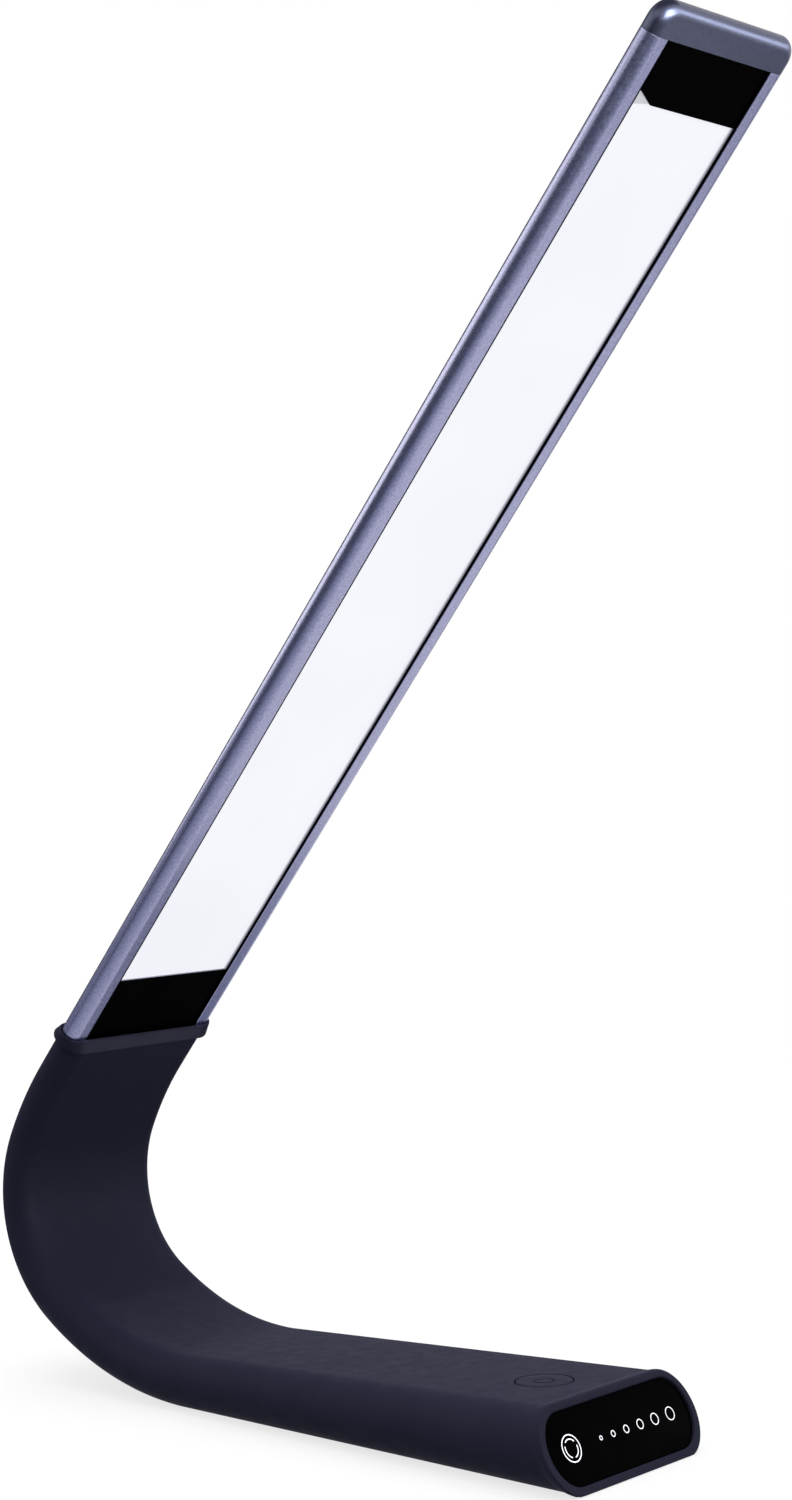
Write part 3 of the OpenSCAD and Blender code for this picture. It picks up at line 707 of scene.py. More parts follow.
def panel_loop(z, grow):
    """The panel's outline, grown by a margin."""
    return outline(z.panel_w / 2 - z.panel_bulge, z.panel_bulge + grow, z.panel_h / 2 + grow)


def on_frame(matrix, loop, height):
    """A loop [x, y] at a height in a frame."""
    p = np.column_stack([loop, np.full(len(loop), height), np.ones(len(loop))])
    return (p @ np.array(matrix).T)[:, :3]


def base_rings(route):
    """Rings of the base's visible skin, from the panel's seat over the lip to the neck."""
    z = route.z
    m = panel_frame(z)
    rings = [on_frame(m, panel_loop(z, SEAT), height) for height in (-z.panel_t, 0.0)]
    for u, v in quarter(4):
        rings.append(on_frame(m, panel_loop(z, SEAT + RIM_EDGE * u), z.lip_face - RIM_EDGE * v))
    inner = rings[-1]
    outer = ruled_points(route, m, LIP_EDGE - z.lip_proud, z.lip_face)
    rings += [inner + share * (outer - inner) for share in (0.25, 0.5, 0.75)]
    for u, v in quarter(6):
        rings.append(ruled_points(route, m, LIP_EDGE * v - z.lip_proud, z.lip_face - LIP_EDGE * u))
    for k in range(1, FLARE_RINGS + 1):
        share = k / FLARE_RINGS
        flare = z.lip_proud * (1 - (3 - 2 * share) * share * share)
        back = LIP_EDGE + (LIP_BACK - LIP_EDGE) * share
        rings.append(ruled_points(route, m, -flare, z.lip_face - back))
    front, foot = rings[-1], route.lift(0.0, route.section(0.0))
    return rings + [front + (foot - front) * k / BODY_RINGS for k in range(1, BODY_RINGS + 1)]


def neck_stops(route):
    """Distances of the neck's rings: the same number between each two hinges, then the straight run."""
    bend = [route.pitch * k / ZONE_RINGS for k in range(HINGES * ZONE_RINGS + 1)]
    run = route.neck_len - route.z.collar_len - route.bend_len
    return bend + [route.bend_len + run * k / TOP_RINGS for k in range(1, TOP_RINGS + 1)]


class LAMP_OT_silicone_sleeve(bpy.types.Operator):
    """Makes the silicone sleeve: the base, the neck in stretches, and the collar"""

    bl_idname = "lamp.silicone_sleeve"
    bl_label = "Silicone sleeve"

    def execute(self, context):
        route = Route(sizes())
        base = base_rings(route)
        stops = neck_stops(route)
        neck = [route.lift(s, route.section(s)) for s in stops]
        skin = base + neck[1:]
        surface = (np.array(skin), grid_normals(skin))
        self.base(route, base, surface)
        self.neck(route, stops, neck, surface)
        self.collar(route)
        return {"FINISHED"}

    def base(self, route, rings, surface):
        """The base's skin, with the key's hole and the slot of the charging port."""
        z = route.z
        wall = z.sleeve_wall
        inner = ruled_points(route, panel_frame(z), wall, -z.panel_t - wall)
        room = [route.lift(0.0, route.section(0.0, wall)), inner]
        obj = piece("sleeve_base", ring_mesh(room + rings), silicone())
        key = key_frame(route)
        radius, low, high = z.key_d / 2 + z.key_gap, -3 * MM, 1 * MM
        mouth = [(radius + HOLE_EDGE * u, -HOLE_EDGE * v) for u, v in quarter(5)]
        profile = [(0, low), (radius, low)] + mouth + [(mouth[-1][0], high), (0, high)]
        cut(obj, piece("key_hole", turned(profile, key), silicone()))
        cut(obj, self.port_tool(key))
        shade_like(obj, surface)
        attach(obj, "base")
        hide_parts("base_sleeve")

    def port_tool(self, key):
        """A rounded slot through the side of the base, in line with the charging port."""
        box_low, box_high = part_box("charge_port")
        middle = key.inverted() @ ((Vector(box_low) + Vector(box_high)) / 2)
        high, wide, margin = 3.2 * MM, 9 * MM, 0.7 * MM
        loop = outline((wide - high) / 2, high / 2 + margin, high / 2 + margin)
        ends = (box_high[0] - 2 * MM, box_high[0] + 12 * MM)
        rings = [placed(key, [(x, middle.y + u, middle.z + v) for u, v in loop]) for x in ends]
        return piece("port_hole", ring_mesh(rings, False), silicone())

    def neck(self, route, stops, rings, surface):
        """The neck's skin: one stretch for each hinge, and a last one up to the collar."""
        wall = route.z.sleeve_wall
        inner = [route.lift(s, route.section(s, wall)) for s in stops]
        spans = [(i * ZONE_RINGS, (i + 1) * ZONE_RINGS) for i in range(HINGES)]
        spans.append((HINGES * ZONE_RINGS, len(stops) - 1))
        for i, (low, high) in enumerate(spans):
            sock = rings[low : high + 1] + inner[low : high + 1][::-1]
            obj = piece(f"sleeve_neck_{i + 1}", ring_mesh(sock), silicone())
            shade_like(obj, surface)
            if i < HINGES:
                ends = [route.pitch * (i + share) for share in TURNING]
                points = [tuple(route.lift(s, [(0.0, route.thick(s) / 2)])[0]) for s in ends]
                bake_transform(obj)
            else:
                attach(obj, "head")
            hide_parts("neck_sleeve")

    def collar(self, route):
        """The collar: a step out of the neck, a side that leans in, a round brow and a rim on the bar."""
        z = route.z
        m = bar_frame(route)
        foot, brow, rim, lean = 0.35 * MM, 0.4 * MM, 0.35 * MM, 1.2 * MM
        neck_r, bar_r = z.neck_t_top / 2, z.head_t / 2
        neck_half, bar_half = z.neck_w / 2 - neck_r, z.head_w / 2 - bar_r
        out_r = neck_r + z.collar_proud
        out_half = z.head_w / 2 + z.collar_wall - out_r
        low, seat = -z.collar_len, bar_r + SEAT
        side_low = foot + low
        # Each ring: half of its flat, the radius of its sides, its place along the bar.
        path = [(neck_half, neck_r - z.sleeve_wall, low), (neck_half, neck_r - 0.2 * MM, low)]
        path += [(out_half, out_r - foot * v, low + foot * u) for u, v in quarter(5)]
        for k in (0.06, 0.5, 0.94):
            path.append((out_half + lean * k, out_r - lean * k, side_low + (-brow - side_low) * k))
        path += [(out_half + lean, out_r - lean - 0.6 * brow * u, -brow * v) for u, v in quarter(5)]
        path += [(bar_half, seat + rim * v, -rim * u) for u, v in quarter(4)]
        path.append((bar_half, seat, BAR_START + low))
        rings = [placed(m, [(x, y, d) for x, d in outline(half, r, r)]) for half, r, y in path]
        # The collar's front is painted paler: painted light.
        material = made(soft_touch_silicone, "soft_touch_silicone_painted_light", True)
        obj = piece("sleeve_collar", ring_mesh(rings), material, sharp=50)
        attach(obj, "head")
        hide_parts("collar")


# The lead from the control board to the bar

LEAD_SIDES = 12
LEAD_STEPS = 8
LEAD_HEIGHT = 7.05 * MM


def tube(points, ups, radius):
    """Points and faces of a closed tube along a route, each ring square to the route."""
    rings = []
    last = len(points) - 1
    turns = [2 * math.pi * i / LEAD_SIDES for i in range(LEAD_SIDES)]
    for k, point in enumerate(points):
        along = (points[min(k + 1, last)] - points[max(k - 1, 0)]).normalized()
        side = along.cross(ups[k]).normalized()
        top = side.cross(along)
        rings.append([point + radius * (math.cos(a) * side + math.sin(a) * top) for a in turns])
    return ring_mesh(rings, False)


class LAMP_OT_neck_lead(bpy.types.Operator):
    """Makes the lead from the control board through the neck to the bar, in stretches"""

    bl_idname = "lamp.neck_lead"
    bl_label = "Neck lead"

    def execute(self, context):
        z = sizes()
        route = Route(z)
        pitch, bend = route.pitch, route.bend_len
        low = self.rise(route) + [self.middle(route, s * MM) for s in range(-13, 1)]
        self.stretch("neck_lead_base", low, [Vector((0, 0, 1))] * len(low), "base")
        for i in range(HINGES):
            stops = [pitch * (i + k / LEAD_STEPS) for k in range(LEAD_STEPS + 1)]
            obj = self.run(route, f"neck_lead_{i + 1}", stops)
            ends = [self.middle(route, pitch * (i + share)) for share in TURNING]
            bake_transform(obj)
        top = route.neck_len + z.mask_low - 1.8 * MM
        stops = [bend + (top - bend) * k / LEAD_STEPS for k in range(LEAD_STEPS + 1)]
        self.run(route, "neck_lead_top", stops, "head")
        return {"FINISHED"}

    def rise(self, route):
        """The lead's route inside the base, from its plug past the battery."""
        plug = key_frame(route) @ Vector((8.5 * MM, 6.05 * MM, -8.4 * MM))
        points = [plug, Vector((plug.x, plug.y + 0.8 * MM, plug.z))]
        for x, y in ((3, 2.6), (8.4, 3)):
            points.append(Vector((plug.x + x * MM, plug.y + y * MM, LEAD_HEIGHT)))
        for x, y in ((16.9, 32.6), (16.3, 34.3), (4, 34.3)):
            points.append(Vector((x * MM, y * MM, LEAD_HEIGHT)))
        return points

    def middle(self, route, s):
        """The neck's middle line, which runs on level into the base."""
        first = route.pitch / 2
        depth = route.thick(first if s < first else min(s, route.neck_len)) / 2
        return Vector(route.lift(s, [(0.0, depth)])[0])

    def run(self, route, name, stops, body=None):
        """A stretch along the neck's middle line."""
        turns = [route.at(s)[0] for s in stops]
        ups = [Vector((0, -math.sin(a), math.cos(a))) for a in turns]
        return self.stretch(name, [self.middle(route, s) for s in stops], ups, body)

    def stretch(self, name, points, ups, body=None):
        """A stretch of the lead: a smooth black PVC jacket with a low gloss."""
        jacket = made(plain_finish, "pvc_lead_jacket", "#151518", "#1d1d21", 1, 0.42)
        obj = piece(name, tube(points, ups, sizes().lead_d / 2), jacket, sharp=60)
        if body:
            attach(obj, body)
        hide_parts("neck_lead")
        return obj


# The power key

class LAMP_OT_power_key(bpy.types.Operator):
    """Makes the round power key with its moulded sign"""

    bl_idname = "lamp.power_key"
    bl_label = "Power key"

    def execute(self, context):
        z = sizes()
        m = key_frame(Route(z))
        r, edge, stem = z.key_d / 2, 0.3 * MM, 2 * MM
        flange, stem_low, flange_low, flange_top = r + 1.2 * MM, -5.6 * MM, -2.8 * MM, -1.9 * MM
        profile = [(0, stem_low), (stem, stem_low), (stem, flange_low)]
        profile += [(flange, flange_low), (flange, flange_top), (r, flange_top)]
        profile += [(r - edge * u, -edge * v) for u, v in quarter(6)]
        profile += [(r * share, 0) for share in (0.6, 0.3, 0)]
        obj = piece("power_key_cap", turned(profile, m), silicone(), sharp=50)
        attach(obj, "power_key")
        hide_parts("power_key")
        self.sign(m @ Matrix.Translation((0, 0, 0.004 * MM)))
        return {"FINISHED"}

    def sign(self, m):
        """The power sign: an open ring with a stroke."""
        ring, width, gap = 2.1 * MM, 0.42 * MM, math.radians(70)
        verts, faces = bands([(0, 0, ring, width, math.pi / 2 + gap / 2, 2 * math.pi - gap)], m)
        first = len(verts)
        low, high = ring * 0.25, ring * 1.2
        corners = ((-1, low), (1, low), (1, high), (-1, high))
        ends = [placed(m, [(x * width / 2, y, h) for x, y in corners]) for h in (0, LINE_HEIGHT)]
        stroke, sides = ring_mesh(ends, False)
        faces += [tuple(first + i for i in face) for face in sides]
        sign = piece("power_key_sign", (verts + list(stroke), faces), made(moulded_mark), smooth=False)
        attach(sign, "power_key")


# The touch panel

MARK_Y = 0.02 * MM
ROW_X = -6.63 * MM
MODE_X = -16.49 * MM
RING_INPUTS = (
    ("Count", "NodeSocketInt", 6),
    ("First Spacing", "NodeSocketFloat", 4.18 * MM),
    ("Spacing Growth", "NodeSocketFloat", 0.165 * MM),
    ("First Radius", "NodeSocketFloat", 0.4 * MM),
    ("Radius Growth", "NodeSocketFloat", 0.19 * MM),
    ("Line Width", "NodeSocketFloat", 0.2 * MM),
    ("Line Height", "NodeSocketFloat", LINE_HEIGHT),
    ("Material", "NodeSocketMaterial", None),
)


def ring_row_tree():
    """A row of rings that grow along the row. Its sizes are inputs."""
    tree = bpy.data.node_groups.new("dimmer_ring_row", "GeometryNodeTree")
    face = tree.interface
    face.new_socket("Geometry", in_out="OUTPUT", socket_type="NodeSocketGeometry")
    ids = {}
    for name, kind, value in RING_INPUTS:
        socket = face.new_socket(name, in_out="INPUT", socket_type=kind)
        if value is not None:
            socket.default_value = value
        ids[name] = socket.identifier
    given = add(tree, "NodeGroupInput").outputs
    growth = given["Spacing Growth"]
    index = add(tree, "GeometryNodeInputIndex").outputs["Index"]
    line = add(tree, "GeometryNodeMeshLine", {"Count": given["Count"]})
    square = add(tree, "ShaderNodeMath", {0: index, 1: index}, operation="MULTIPLY").outputs[0]
    grown = add(tree, "ShaderNodeMath", {0: square, 1: growth}, operation="MULTIPLY").outputs[0]
    links = {0: given["First Spacing"], 1: growth}
    step = add(tree, "ShaderNodeMath", links, operation="SUBTRACT").outputs[0]
    x = add(tree, "ShaderNodeMath", {0: index, 1: step, 2: grown}, operation="MULTIPLY_ADD").outputs[0]
    place = add(tree, "ShaderNodeCombineXYZ", {"X": x}).outputs["Vector"]
    row = add(tree, "GeometryNodeSetPosition", {"Geometry": line.outputs["Mesh"], "Position": place})
    links = {0: index, 1: given["Radius Growth"], 2: given["First Radius"]}
    radius = add(tree, "ShaderNodeMath", links, operation="MULTIPLY_ADD").outputs[0]
    circle = add(tree, "GeometryNodeCurvePrimitiveCircle", None, {"Resolution": 48, "Radius": 1.0})
    links = {"Points": row.outputs["Geometry"], "Instance": circle.outputs["Curve"], "Scale": radius}
    rings = add(tree, "GeometryNodeInstanceOnPoints", links)
    real = add(tree, "GeometryNodeRealizeInstances", {"Geometry": rings.outputs["Instances"]})
    links = {"Width": given["Line Width"], "Height": given["Line Height"]}
    band = add(tree, "GeometryNodeCurvePrimitiveQuadrilateral", links)
    links = {"Curve": real.outputs["Geometry"], "Profile Curve": band.outputs["Curve"]}
    swept = add(tree, "GeometryNodeCurveToMesh", links)
    links = {"Geometry": swept.outputs["Mesh"], "Material": given["Material"]}
    painted = add(tree, "GeometryNodeSetMaterial", links)
    add(tree, "NodeGroupOutput", {"Geometry": painted.outputs["Geometry"]})
    return tree, ids


class LAMP_OT_touch_panel(bpy.types.Operator):
    """Makes the slanted black panel with its printed rings"""

    bl_idname = "lamp.touch_panel"
    bl_label = "Touch panel"

    def execute(self, context):
        z = sizes()
        m = panel_frame(z)
        edge = 0.2 * MM
        rings = [on_frame(m, panel_loop(z, 0.0), -z.panel_t)]
        rings += [on_frame(m, panel_loop(z, -edge * u), -edge * v) for u, v in quarter(4)]
        black = made(black_acrylic, "black_panel_acrylic", 0.1, 0.006)
        glass = piece("touch_panel_face", ring_mesh(rings, False), black, sharp=40)
        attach(glass, "base")
        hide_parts("touch_panel")
        self.rings(m)
        return {"FINISHED"}

    def rings(self, m):
        """The printed marks: a row of rings for the dimmer, and a ring round three arcs for the mode."""
        white = made(panel_print)
        tree, ids = ring_row_tree()
        row = new_object("dimmer_rings", [], [], white)
        mod = row.modifiers.new("rings", "NODES")
        mod.node_group = tree
        mod[ids["Material"]] = white
        settle(row)
        row.data.transform(m @ Matrix.Translation((ROW_X, MARK_Y, 0.012 * MM)))
        face_outward(row)
        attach(row, "base")
        line, sweep = 0.24 * MM, math.radians(92)
        arcs = [(MODE_X, MARK_Y, 2.75 * MM, line, 0, 2 * math.pi)]
        arcs += [(MODE_X, MARK_Y, 1.88 * MM, line, math.radians(38 + 120 * k), sweep) for k in range(3)]
        marks = bands(arcs, m @ Matrix.Translation((0, 0, 0.002 * MM)))
        mode = piece("mode_ring", marks, white, smooth=False)
        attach(mode, "base")


# The light bar

BAR_RINGS = 24
CAP_GAP = 0.02 * MM
CAP_ROUNDS = 18
CORNER_STEPS = 14
SEAM = 0.07 * MM


def channel_loop(z, inset=0.0):
    """Outline of the channel across the bar, [x, z]: rounded edges, two lips and the room inside."""
    r = z.head_t / 2 - inset
    half = z.head_w / 2 - z.head_t / 2
    window = z.head_w / 2 - z.edge_w + inset
    room = (z.head_w - z.head_t + z.head_skin) / 2
    inner = z.head_t / 2 - z.head_skin
    edge = 0.22 * MM
    lip = window + edge
    right = [(window + edge * u, r - edge * v) for u, v in quarter(6)]
    right += [(lip + (half - lip) * k / 6, r) for k in range(1, 7)]
    right += [(half + r * math.sin(a), r * math.cos(a)) for a in (math.pi * k / 40 for k in range(1, 41))]
    left = [(-x, y) for x, y in right[::-1]]
    back = [(half * (1 - 2 * k / 10), -r) for k in range(1, 10)]
    room_left = [(-window, inner), (-room, inner), (-room, -inner)]
    room_right = [(room, -inner), (room, inner), (window, inner)]
    return right + back + left + room_left + room_right


def cap_loop(z, inset):
    """Outline of the cap, [x, y], drawn in by an inset: right foot, both corners, left foot."""
    half, low, high = z.head_w / 2, z.head_len + CAP_GAP, z.head_len + z.cap_len
    span, centre, corner = half - z.cap_corner, high - z.cap_corner, z.cap_corner - inset
    right = [(half - inset - SEAM, low), (half - inset, low + SEAM)]
    right += [(half - inset, low + (centre - low) * k / 4) for k in (1, 2, 3)]
    for k in range(CORNER_STEPS + 1):
        a = math.pi / 2 * k / CORNER_STEPS
        right.append((span + corner * math.cos(a), centre + corner * math.sin(a)))
    top = [(span * (1 - 2 * k / 12), high - inset) for k in range(1, 12)]
    return right + top + [(-x, y) for x, y in right[::-1]]


class LAMP_OT_light_bar(bpy.types.Operator):
    """Makes the aluminium channel, the end cap and the low mask's end, and finishes masks and lit sheet"""

    bl_idname = "lamp.light_bar"
    bl_label = "Light bar"

    def execute(self, context):
        z = sizes()
        m = bar_frame(Route(z))
        self.channel(z, m)
        self.cap(z, m)
        mask = made(black_acrylic, "black_mask_acrylic", 0.35, 0.004, True)
        dress("face_mask", mask)
        self.tongue(z, m, mask)
        dress("diffuser", made(opal_sheet))
        return {"FINISHED"}

    def channel(self, z, m):
        """The channel from under the collar to the cap, where it draws in by a fine seam."""
        low, high = BAR_START - z.collar_len, z.head_len - CAP_GAP
        stops = [(low, 0.0)] + [(high * k / BAR_RINGS, 0.0) for k in range(BAR_RINGS)]
        stops += [(high - SEAM, 0.0), (high, SEAM)]
        rings = [placed(m, [(x, y, h) for x, h in channel_loop(z, inset)]) for y, inset in stops]
        obj = piece("bar_channel", ring_mesh(rings, False), made(blasted_aluminium), sharp=40)
        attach(obj, "head")
        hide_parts("head_housing")

    def tongue(self, z, m, material):
        """The low mask's end, which runs on under the collar and hides the anchor."""
        half = z.head_w / 2 - z.edge_w - SEAT
        low = z.head_t / 2 - z.head_skin + SEAT
        high, edge = low + 0.45 * MM, 0.12 * MM
        loop = [(-half, low), (half, low), (half, high - edge), (half - edge, high)]
        loop += [(edge - half, high), (-half, high - edge)]
        ends = (0.5 * MM - z.collar_len, -SEAT)
        rings = [placed(m, [(x, y, h) for x, h in loop]) for y in ends]
        obj = piece("mask_tongue", ring_mesh(rings, False), material, smooth=False)
        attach(obj, "head")

    def cap(self, z, m):
        """The cap, with half-round edges and rounded corners."""
        r = z.head_t / 2
        rings = []
        for k in range(CAP_ROUNDS + 1):
            a = -math.pi / 2 + math.pi * k / CAP_ROUNDS
            loop = cap_loop(z, r * (1 - math.cos(a)))
            rings.append(placed(m, [(x, y, r * math.sin(a)) for x, y in loop]))
        obj = piece("bar_cap", ring_mesh(rings, False), made(satin_aluminium), sharp=40)
        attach(obj, "head")
        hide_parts("end_cap")


# Parts inside: name, two colours, patch in mm, roughness, metallic and grain depth in mm, then the nodes

PINS = [f"hinge_pins_{i + 1}" for i in range(HINGES)]
LINKS = [f"spine_link_{i + 1}" for i in range(HINGES - 1)]
INSIDE = (
    # Machined: a pale metal with fine tool grain.
    (
        ("machined_aluminium", "#9a9ca0", "#a9abb0", 0.8, 0.34, 1.0, 0.004),
        LINKS + ["neck_anchor", "head_anchor"],
    ),
    # Drawn and plated: bright and smooth.
    (
        ("bright_steel", "#b4b6ba", "#c2c4c8", 0.6, 0.24, 1.0),
        PINS + ["charge_port", "lid_screws", "anchor_screws"],
    ),
    # Rolled and plated: a dark, patchy metal.
    (("dark_zinc_plate", "#3a3b40", "#484a50", 2, 0.4, 1.0), ["counterweight"]),
    # Moulded with an eroded grain: dull black.
    (
        ("moulded_abs", "#1d1d20", "#232327", 1.5, 0.55, 0.0, 0.01),
        ["switch_plunger", "base_tray", "base_lid", "panel_carrier"],
    ),
    # Printed resin: a satin green.
    (("solder_mask_green", "#0f3d22", "#14502d", 3, 0.38), ["control_board", "touch_board", "led_boards"]),
    # Foamed film: a matt white.
    (("white_reflector_film", "#e8ebef", "#f4f6f9", 3, 0.5), ["reflector"]),
    # Moulded and polished: a pale gloss.
    (("clear_light_guide", "#dfe7ec", "#eef3f6", 8, 0.12), ["light_guide"]),
    # Cast phosphor: a speckled yellow.
    (("phosphor_chip", "#d8b64c", "#e8cb68", 0.4, 0.5), ["led_chips"]),
    # Folded foil: a soft, dented silver.
    (("cell_foil_wrap", "#8d98a6", "#a3aebb", 5, 0.32, 0.6, 0.02), ["battery"]),
    # Moulded nylon: an even grey.
    (("moulded_switch_body", "#8b8d92", "#9a9ca1", 1, 0.5), ["tact_switch"]),
)


class LAMP_OT_inner_parts(bpy.types.Operator):
    """Gives the parts inside the base, the neck and the bar their finishes"""

    bl_idname = "lamp.inner_parts"
    bl_label = "Inner parts"

    def execute(self, context):
        for values, nodes in INSIDE:
            for node in nodes:
                dress(node, made(plain_finish, *values))
        return {"FINISHED"}


# The stage

FLOOR_STEPS = 96
FLOOR_RADIUS = 0.6
SOFTBOXES = (  # name, place, aim, width, height, power
    ("softbox_top", (0.10, 0.12, 0.95), (0, 0.02, 0.05), 0.9, 0.9, 3.85),
    ("softbox_front", (0.5, -0.83, 0.37), (0, -0.05, 0.25), 0.75, 0.2, 0.2),
    ("softbox_fill", (-0.45, -0.9, 0.42), (0, 0, 0.1), 0.5, 0.5, 2.2),
)


def lying(x0, x1, y0, y1):
    """Corners of a card that lies flat."""
    return ((x0, y0), (x1, y0), (x1, y1), (x0, y1))


SHADE, DUSK, BRIGHT = "#d9e2ff", "#dfe6ff", "#f6ffff"
BEHIND = ((-0.62, 0.56), (-0.03, 0.79))
FOOT = ((0.065, 0.035), (0.2, 0.035), (0.2, 0.3), (-0.14, 0.3))
CARDS = (  # name, ground, low, high if it stands, level, tint, and where it fades to white along X
    ("card_low", lying(-0.66, 0.2, -0.4, 0.45), 0.019, None, 0.17, SHADE, (-0.33, 0.06)),
    ("card_tip", lying(-0.3, 0.36, -0.5, -0.21), 0.021, None, 0.15, DUSK, (-0.12, 0.36)),
    ("card_foot", FOOT, 0.021, None, 0.3, SHADE, (0.055, 0.2)),
    ("card_far", lying(0.36, 1.2, -0.5, 1.0), 0.0004, None, 0.25, DUSK, (0.75, 0.36)),
    ("card_left", ((-0.66, -0.4), (-0.66, 0.55)), 0.0004, 0.27, 0.15, DUSK),
    ("card_rim", BEHIND, 0.28, 0.66, 2.1, "#fffff2"),
    ("card_rim_low", BEHIND, 0.0004, 0.24, 0.35, DUSK),
    ("card_back", ((-0.03, 0.80), (0.90, 0.33)), 0.0004, 1.15, 0.12, DUSK),
    ("card_top", lying(-0.9, 0.9, -0.9, 0.6), 1.2, None, 0.25, "#e6edff"),
    ("card_strip", ((0.05, -0.60), (0.48, -0.33)), 0.25, 0.40, 5.6, BRIGHT),
    ("card_spot", ((-0.28, -0.62), (0.29, -0.62)), 0.08, 0.44, 16.0, BRIGHT),
)


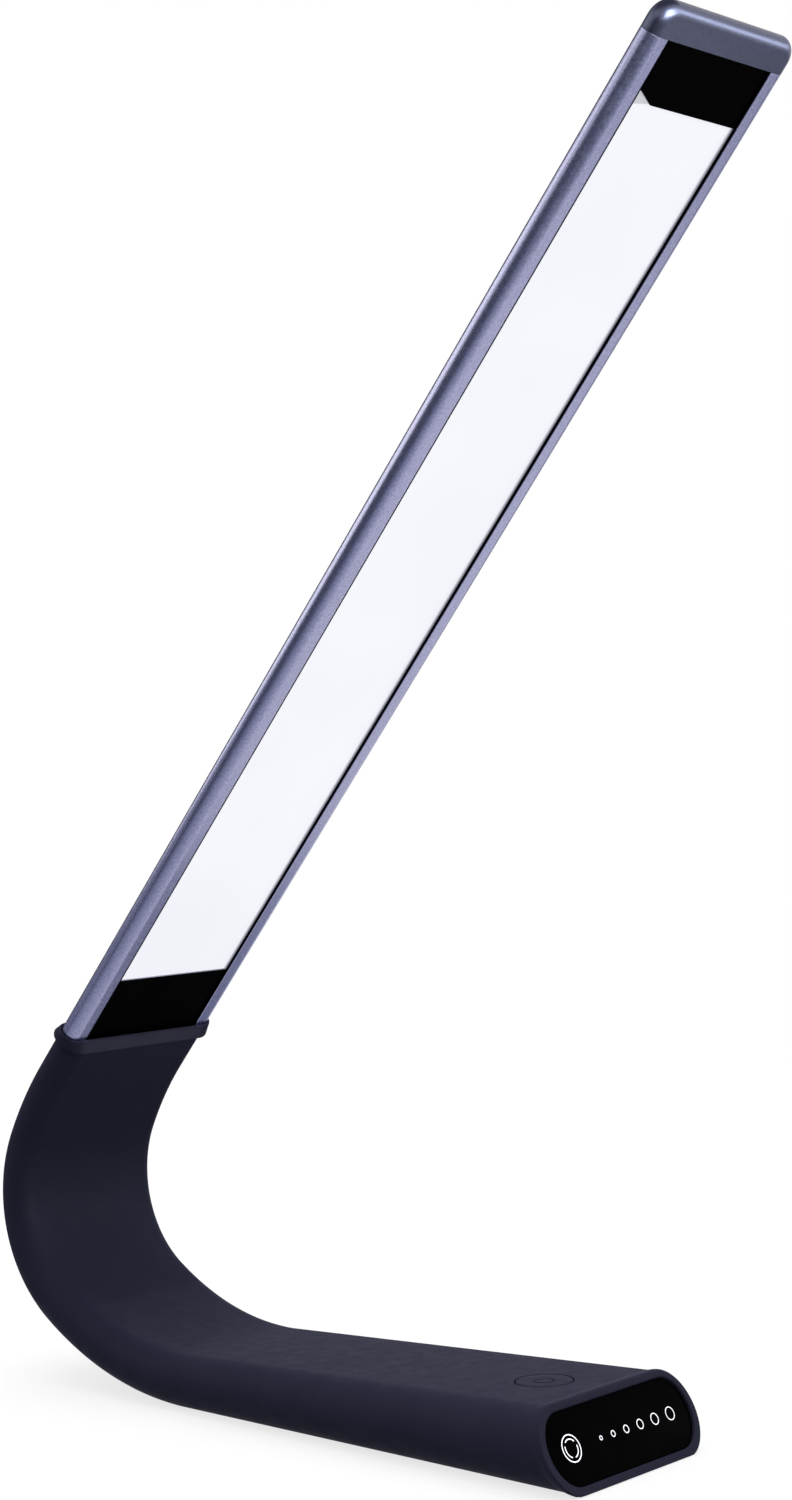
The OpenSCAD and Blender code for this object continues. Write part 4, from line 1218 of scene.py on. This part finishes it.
class LAMP_OT_stage(bpy.types.Operator):
    """Makes the camera, the pale floor and the studio light"""

    bl_idname = "lamp.stage"
    bl_label = "Stage"

    def execute(self, context):
        scene = context.scene
        scene.view_settings.view_transform = "Standard"
        self.camera(scene)
        self.floor()
        self.world(scene)
        for values in SOFTBOXES:
            self.softbox(scene, *values)
        for values in CARDS:
            self.card(*values)
        return {"FINISHED"}

    def seen(self, tree):
        """1 for what the camera sees, also in metal and through glass."""
        path = add(tree, "ShaderNodeLightPath").outputs
        seen = path["Is Camera Ray"]
        for kind in ("Is Glossy Ray", "Is Transmission Ray"):
            seen = add(tree, "ShaderNodeMath", {0: seen, 1: path[kind]}, operation="MAXIMUM").outputs[0]
        return seen

    def camera(self, scene):
        """The camera at the photograph's viewing angle."""
        p = scene.lamp_stage
        data = bpy.data.cameras.new("camera")
        data.lens, data.sensor_width = p.lens, 36.0
        data.clip_start, data.clip_end = 0.01, 50.0
        obj = bpy.data.objects.new("camera", data)
        level = math.cos(p.pitch)
        back = Vector((math.sin(p.yaw) * level, -math.cos(p.yaw) * level, math.sin(p.pitch)))
        right = (-back).cross(Vector((0, 0, 1))).normalized()
        up = right.cross(-back)
        turn = Matrix((right, up, back)).transposed().to_4x4() @ Matrix.Rotation(p.roll, 4, "Z")
        obj.matrix_world = Matrix.Translation(p.camera) @ turn
        scene.collection.objects.link(obj)
        scene.camera = obj

    def floor(self):
        """A pale matt disc that shows white and keeps the shadow."""
        turns = [2 * math.pi * k / FLOOR_STEPS for k in range(FLOOR_STEPS)]
        verts = [(FLOOR_RADIUS * math.cos(a), FLOOR_RADIUS * math.sin(a), 0) for a in turns]
        material = bpy.data.materials.new("pale_floor")
        tree = emptied(material)
        matte = add(tree, "ShaderNodeBsdfDiffuse", None, {"Color": (0.28, 0.28, 0.285, 1)})
        lit = add(tree, "ShaderNodeMath", {0: self.seen(tree)}, {1: 0.75}, operation="MULTIPLY")
        glow = add(tree, "ShaderNodeEmission", {"Strength": lit.outputs[0]}, {"Color": WHITE})
        both = add(tree, "ShaderNodeAddShader", {0: matte.outputs[0], 1: glow.outputs[0]})
        add(tree, "ShaderNodeOutputMaterial", {"Surface": both.outputs[0]})
        floor = new_object("floor", verts, [tuple(range(FLOOR_STEPS))], material, smooth=False)
        floor.location.z = -0.0002

    def world(self, scene):
        """White where it is seen; as light, bright behind the object and above, dim toward the camera."""
        scene.world = bpy.data.worlds.new("studio")
        tree = emptied(scene.world)
        way = add(tree, "ShaderNodeTexCoord").outputs["Generated"]
        bright_side = {1: (0.30, 0.60, 0.74)}
        across = add(tree, "ShaderNodeVectorMath", {0: way}, bright_side, operation="DOT_PRODUCT")
        links = {"Value": across.outputs["Value"]}
        limits = {"From Min": -0.35, "From Max": 0.75, "To Min": 0.06, "To Max": 0.95}
        room = add(tree, "ShaderNodeMapRange", links, limits, interpolation_type="SMOOTHSTEP")
        links = {"Factor": self.seen(tree), "A": room.outputs["Result"]}
        level = add(tree, "ShaderNodeMix", links, {"B": 1.0}).outputs["Result"]
        back = add(tree, "ShaderNodeBackground", {"Strength": level}, {"Color": WHITE})
        add(tree, "ShaderNodeOutputWorld", {"Surface": back.outputs[0]})

    def card(self, name, ground, low, high, level, tint, graded=None):
        """A card that only gloss sees, standing or lying: it draws the bands on the metal's round edges."""
        if high is None:
            corners = [(*point, low) for point in ground]
        else:
            left, right = ground
            corners = [(*left, low), (*right, low), (*right, high), (*left, high)]
        material, tree, place = start(name)
        glow = add(tree, "ShaderNodeEmission", None, {"Color": linear(tint), "Strength": level})
        if graded:
            x = add(tree, "ShaderNodeSeparateXYZ", {"Vector": place}).outputs["X"]
            limits = {"From Min": graded[0], "From Max": graded[1]}
            fade = add(tree, "ShaderNodeMapRange", {"Value": x}, limits).outputs["Result"]
            slow = add(tree, "ShaderNodeMath", {0: fade}, {1: 1.1}, operation="POWER").outputs[0]
            rise = {1: 1.0 - level, 2: level}
            lit = add(tree, "ShaderNodeMath", {0: slow}, rise, operation="MULTIPLY_ADD")
            ends = {6: linear(tint), 7: WHITE}
            pale = add(tree, "ShaderNodeMix", {0: slow}, ends, data_type="RGBA")
            tree.links.new(lit.outputs[0], glow.inputs["Strength"])
            tree.links.new(pale.outputs[2], glow.inputs["Color"])
        add(tree, "ShaderNodeOutputMaterial", {"Surface": glow.outputs[0]})
        card = new_object(name, corners, [(0, 1, 2, 3)], material, smooth=False)
        card.visible_camera = card.visible_diffuse = False
        card.visible_transmission = card.visible_shadow = False

    def softbox(self, scene, name, place, aim, wide, high, power):
        """An area light that metal doesn't mirror, because the cards stand for it there."""
        data = bpy.data.lights.new(name, "AREA")
        data.shape, data.size, data.size_y, data.energy = "RECTANGLE", wide, high, power
        obj = bpy.data.objects.new(name, data)
        obj.location = place
        obj.rotation_euler = (Vector(aim) - Vector(place)).to_track_quat("-Z", "Y").to_euler()
        obj.visible_glossy = False
        scene.collection.objects.link(obj)


class LAMP_PT_panel(bpy.types.Panel):
    """Lists the lamp's pieces"""

    bl_idname = "LAMP_PT_panel"
    bl_label = "Cordless desk lamp"
    bl_space_type = "VIEW_3D"
    bl_region_type = "UI"
    bl_category = "Lamp"

    def draw(self, context):
        for operator in OPERATORS:
            self.layout.operator(operator.bl_idname)


OPERATORS = (
    LAMP_OT_silicone_sleeve,
    LAMP_OT_neck_lead,
    LAMP_OT_power_key,
    LAMP_OT_touch_panel,
    LAMP_OT_light_bar,
    LAMP_OT_inner_parts,
    LAMP_OT_stage,
)
GROUPS = {"lamp_sizes": LampSizes, "lamp_finish": LampFinish, "lamp_stage": LampStage}


def register():
    for name, group in GROUPS.items():
        bpy.utils.register_class(group)
        setattr(bpy.types.Scene, name, PointerProperty(type=group))
    for cls in OPERATORS + (LAMP_PT_panel,):
        bpy.utils.register_class(cls)


def unregister():
    for cls in (LAMP_PT_panel,) + OPERATORS[::-1]:
        bpy.utils.unregister_class(cls)
    for name, group in GROUPS.items():
        delattr(bpy.types.Scene, name)
        bpy.utils.unregister_class(group)


def main():
    register()
    bpy.ops.lamp.silicone_sleeve()
    bpy.ops.lamp.neck_lead()
    bpy.ops.lamp.power_key()
    bpy.ops.lamp.touch_panel()
    bpy.ops.lamp.light_bar()
    bpy.ops.lamp.inner_parts()
    bpy.ops.lamp.stage()


if __name__ == "__main__":
    main()
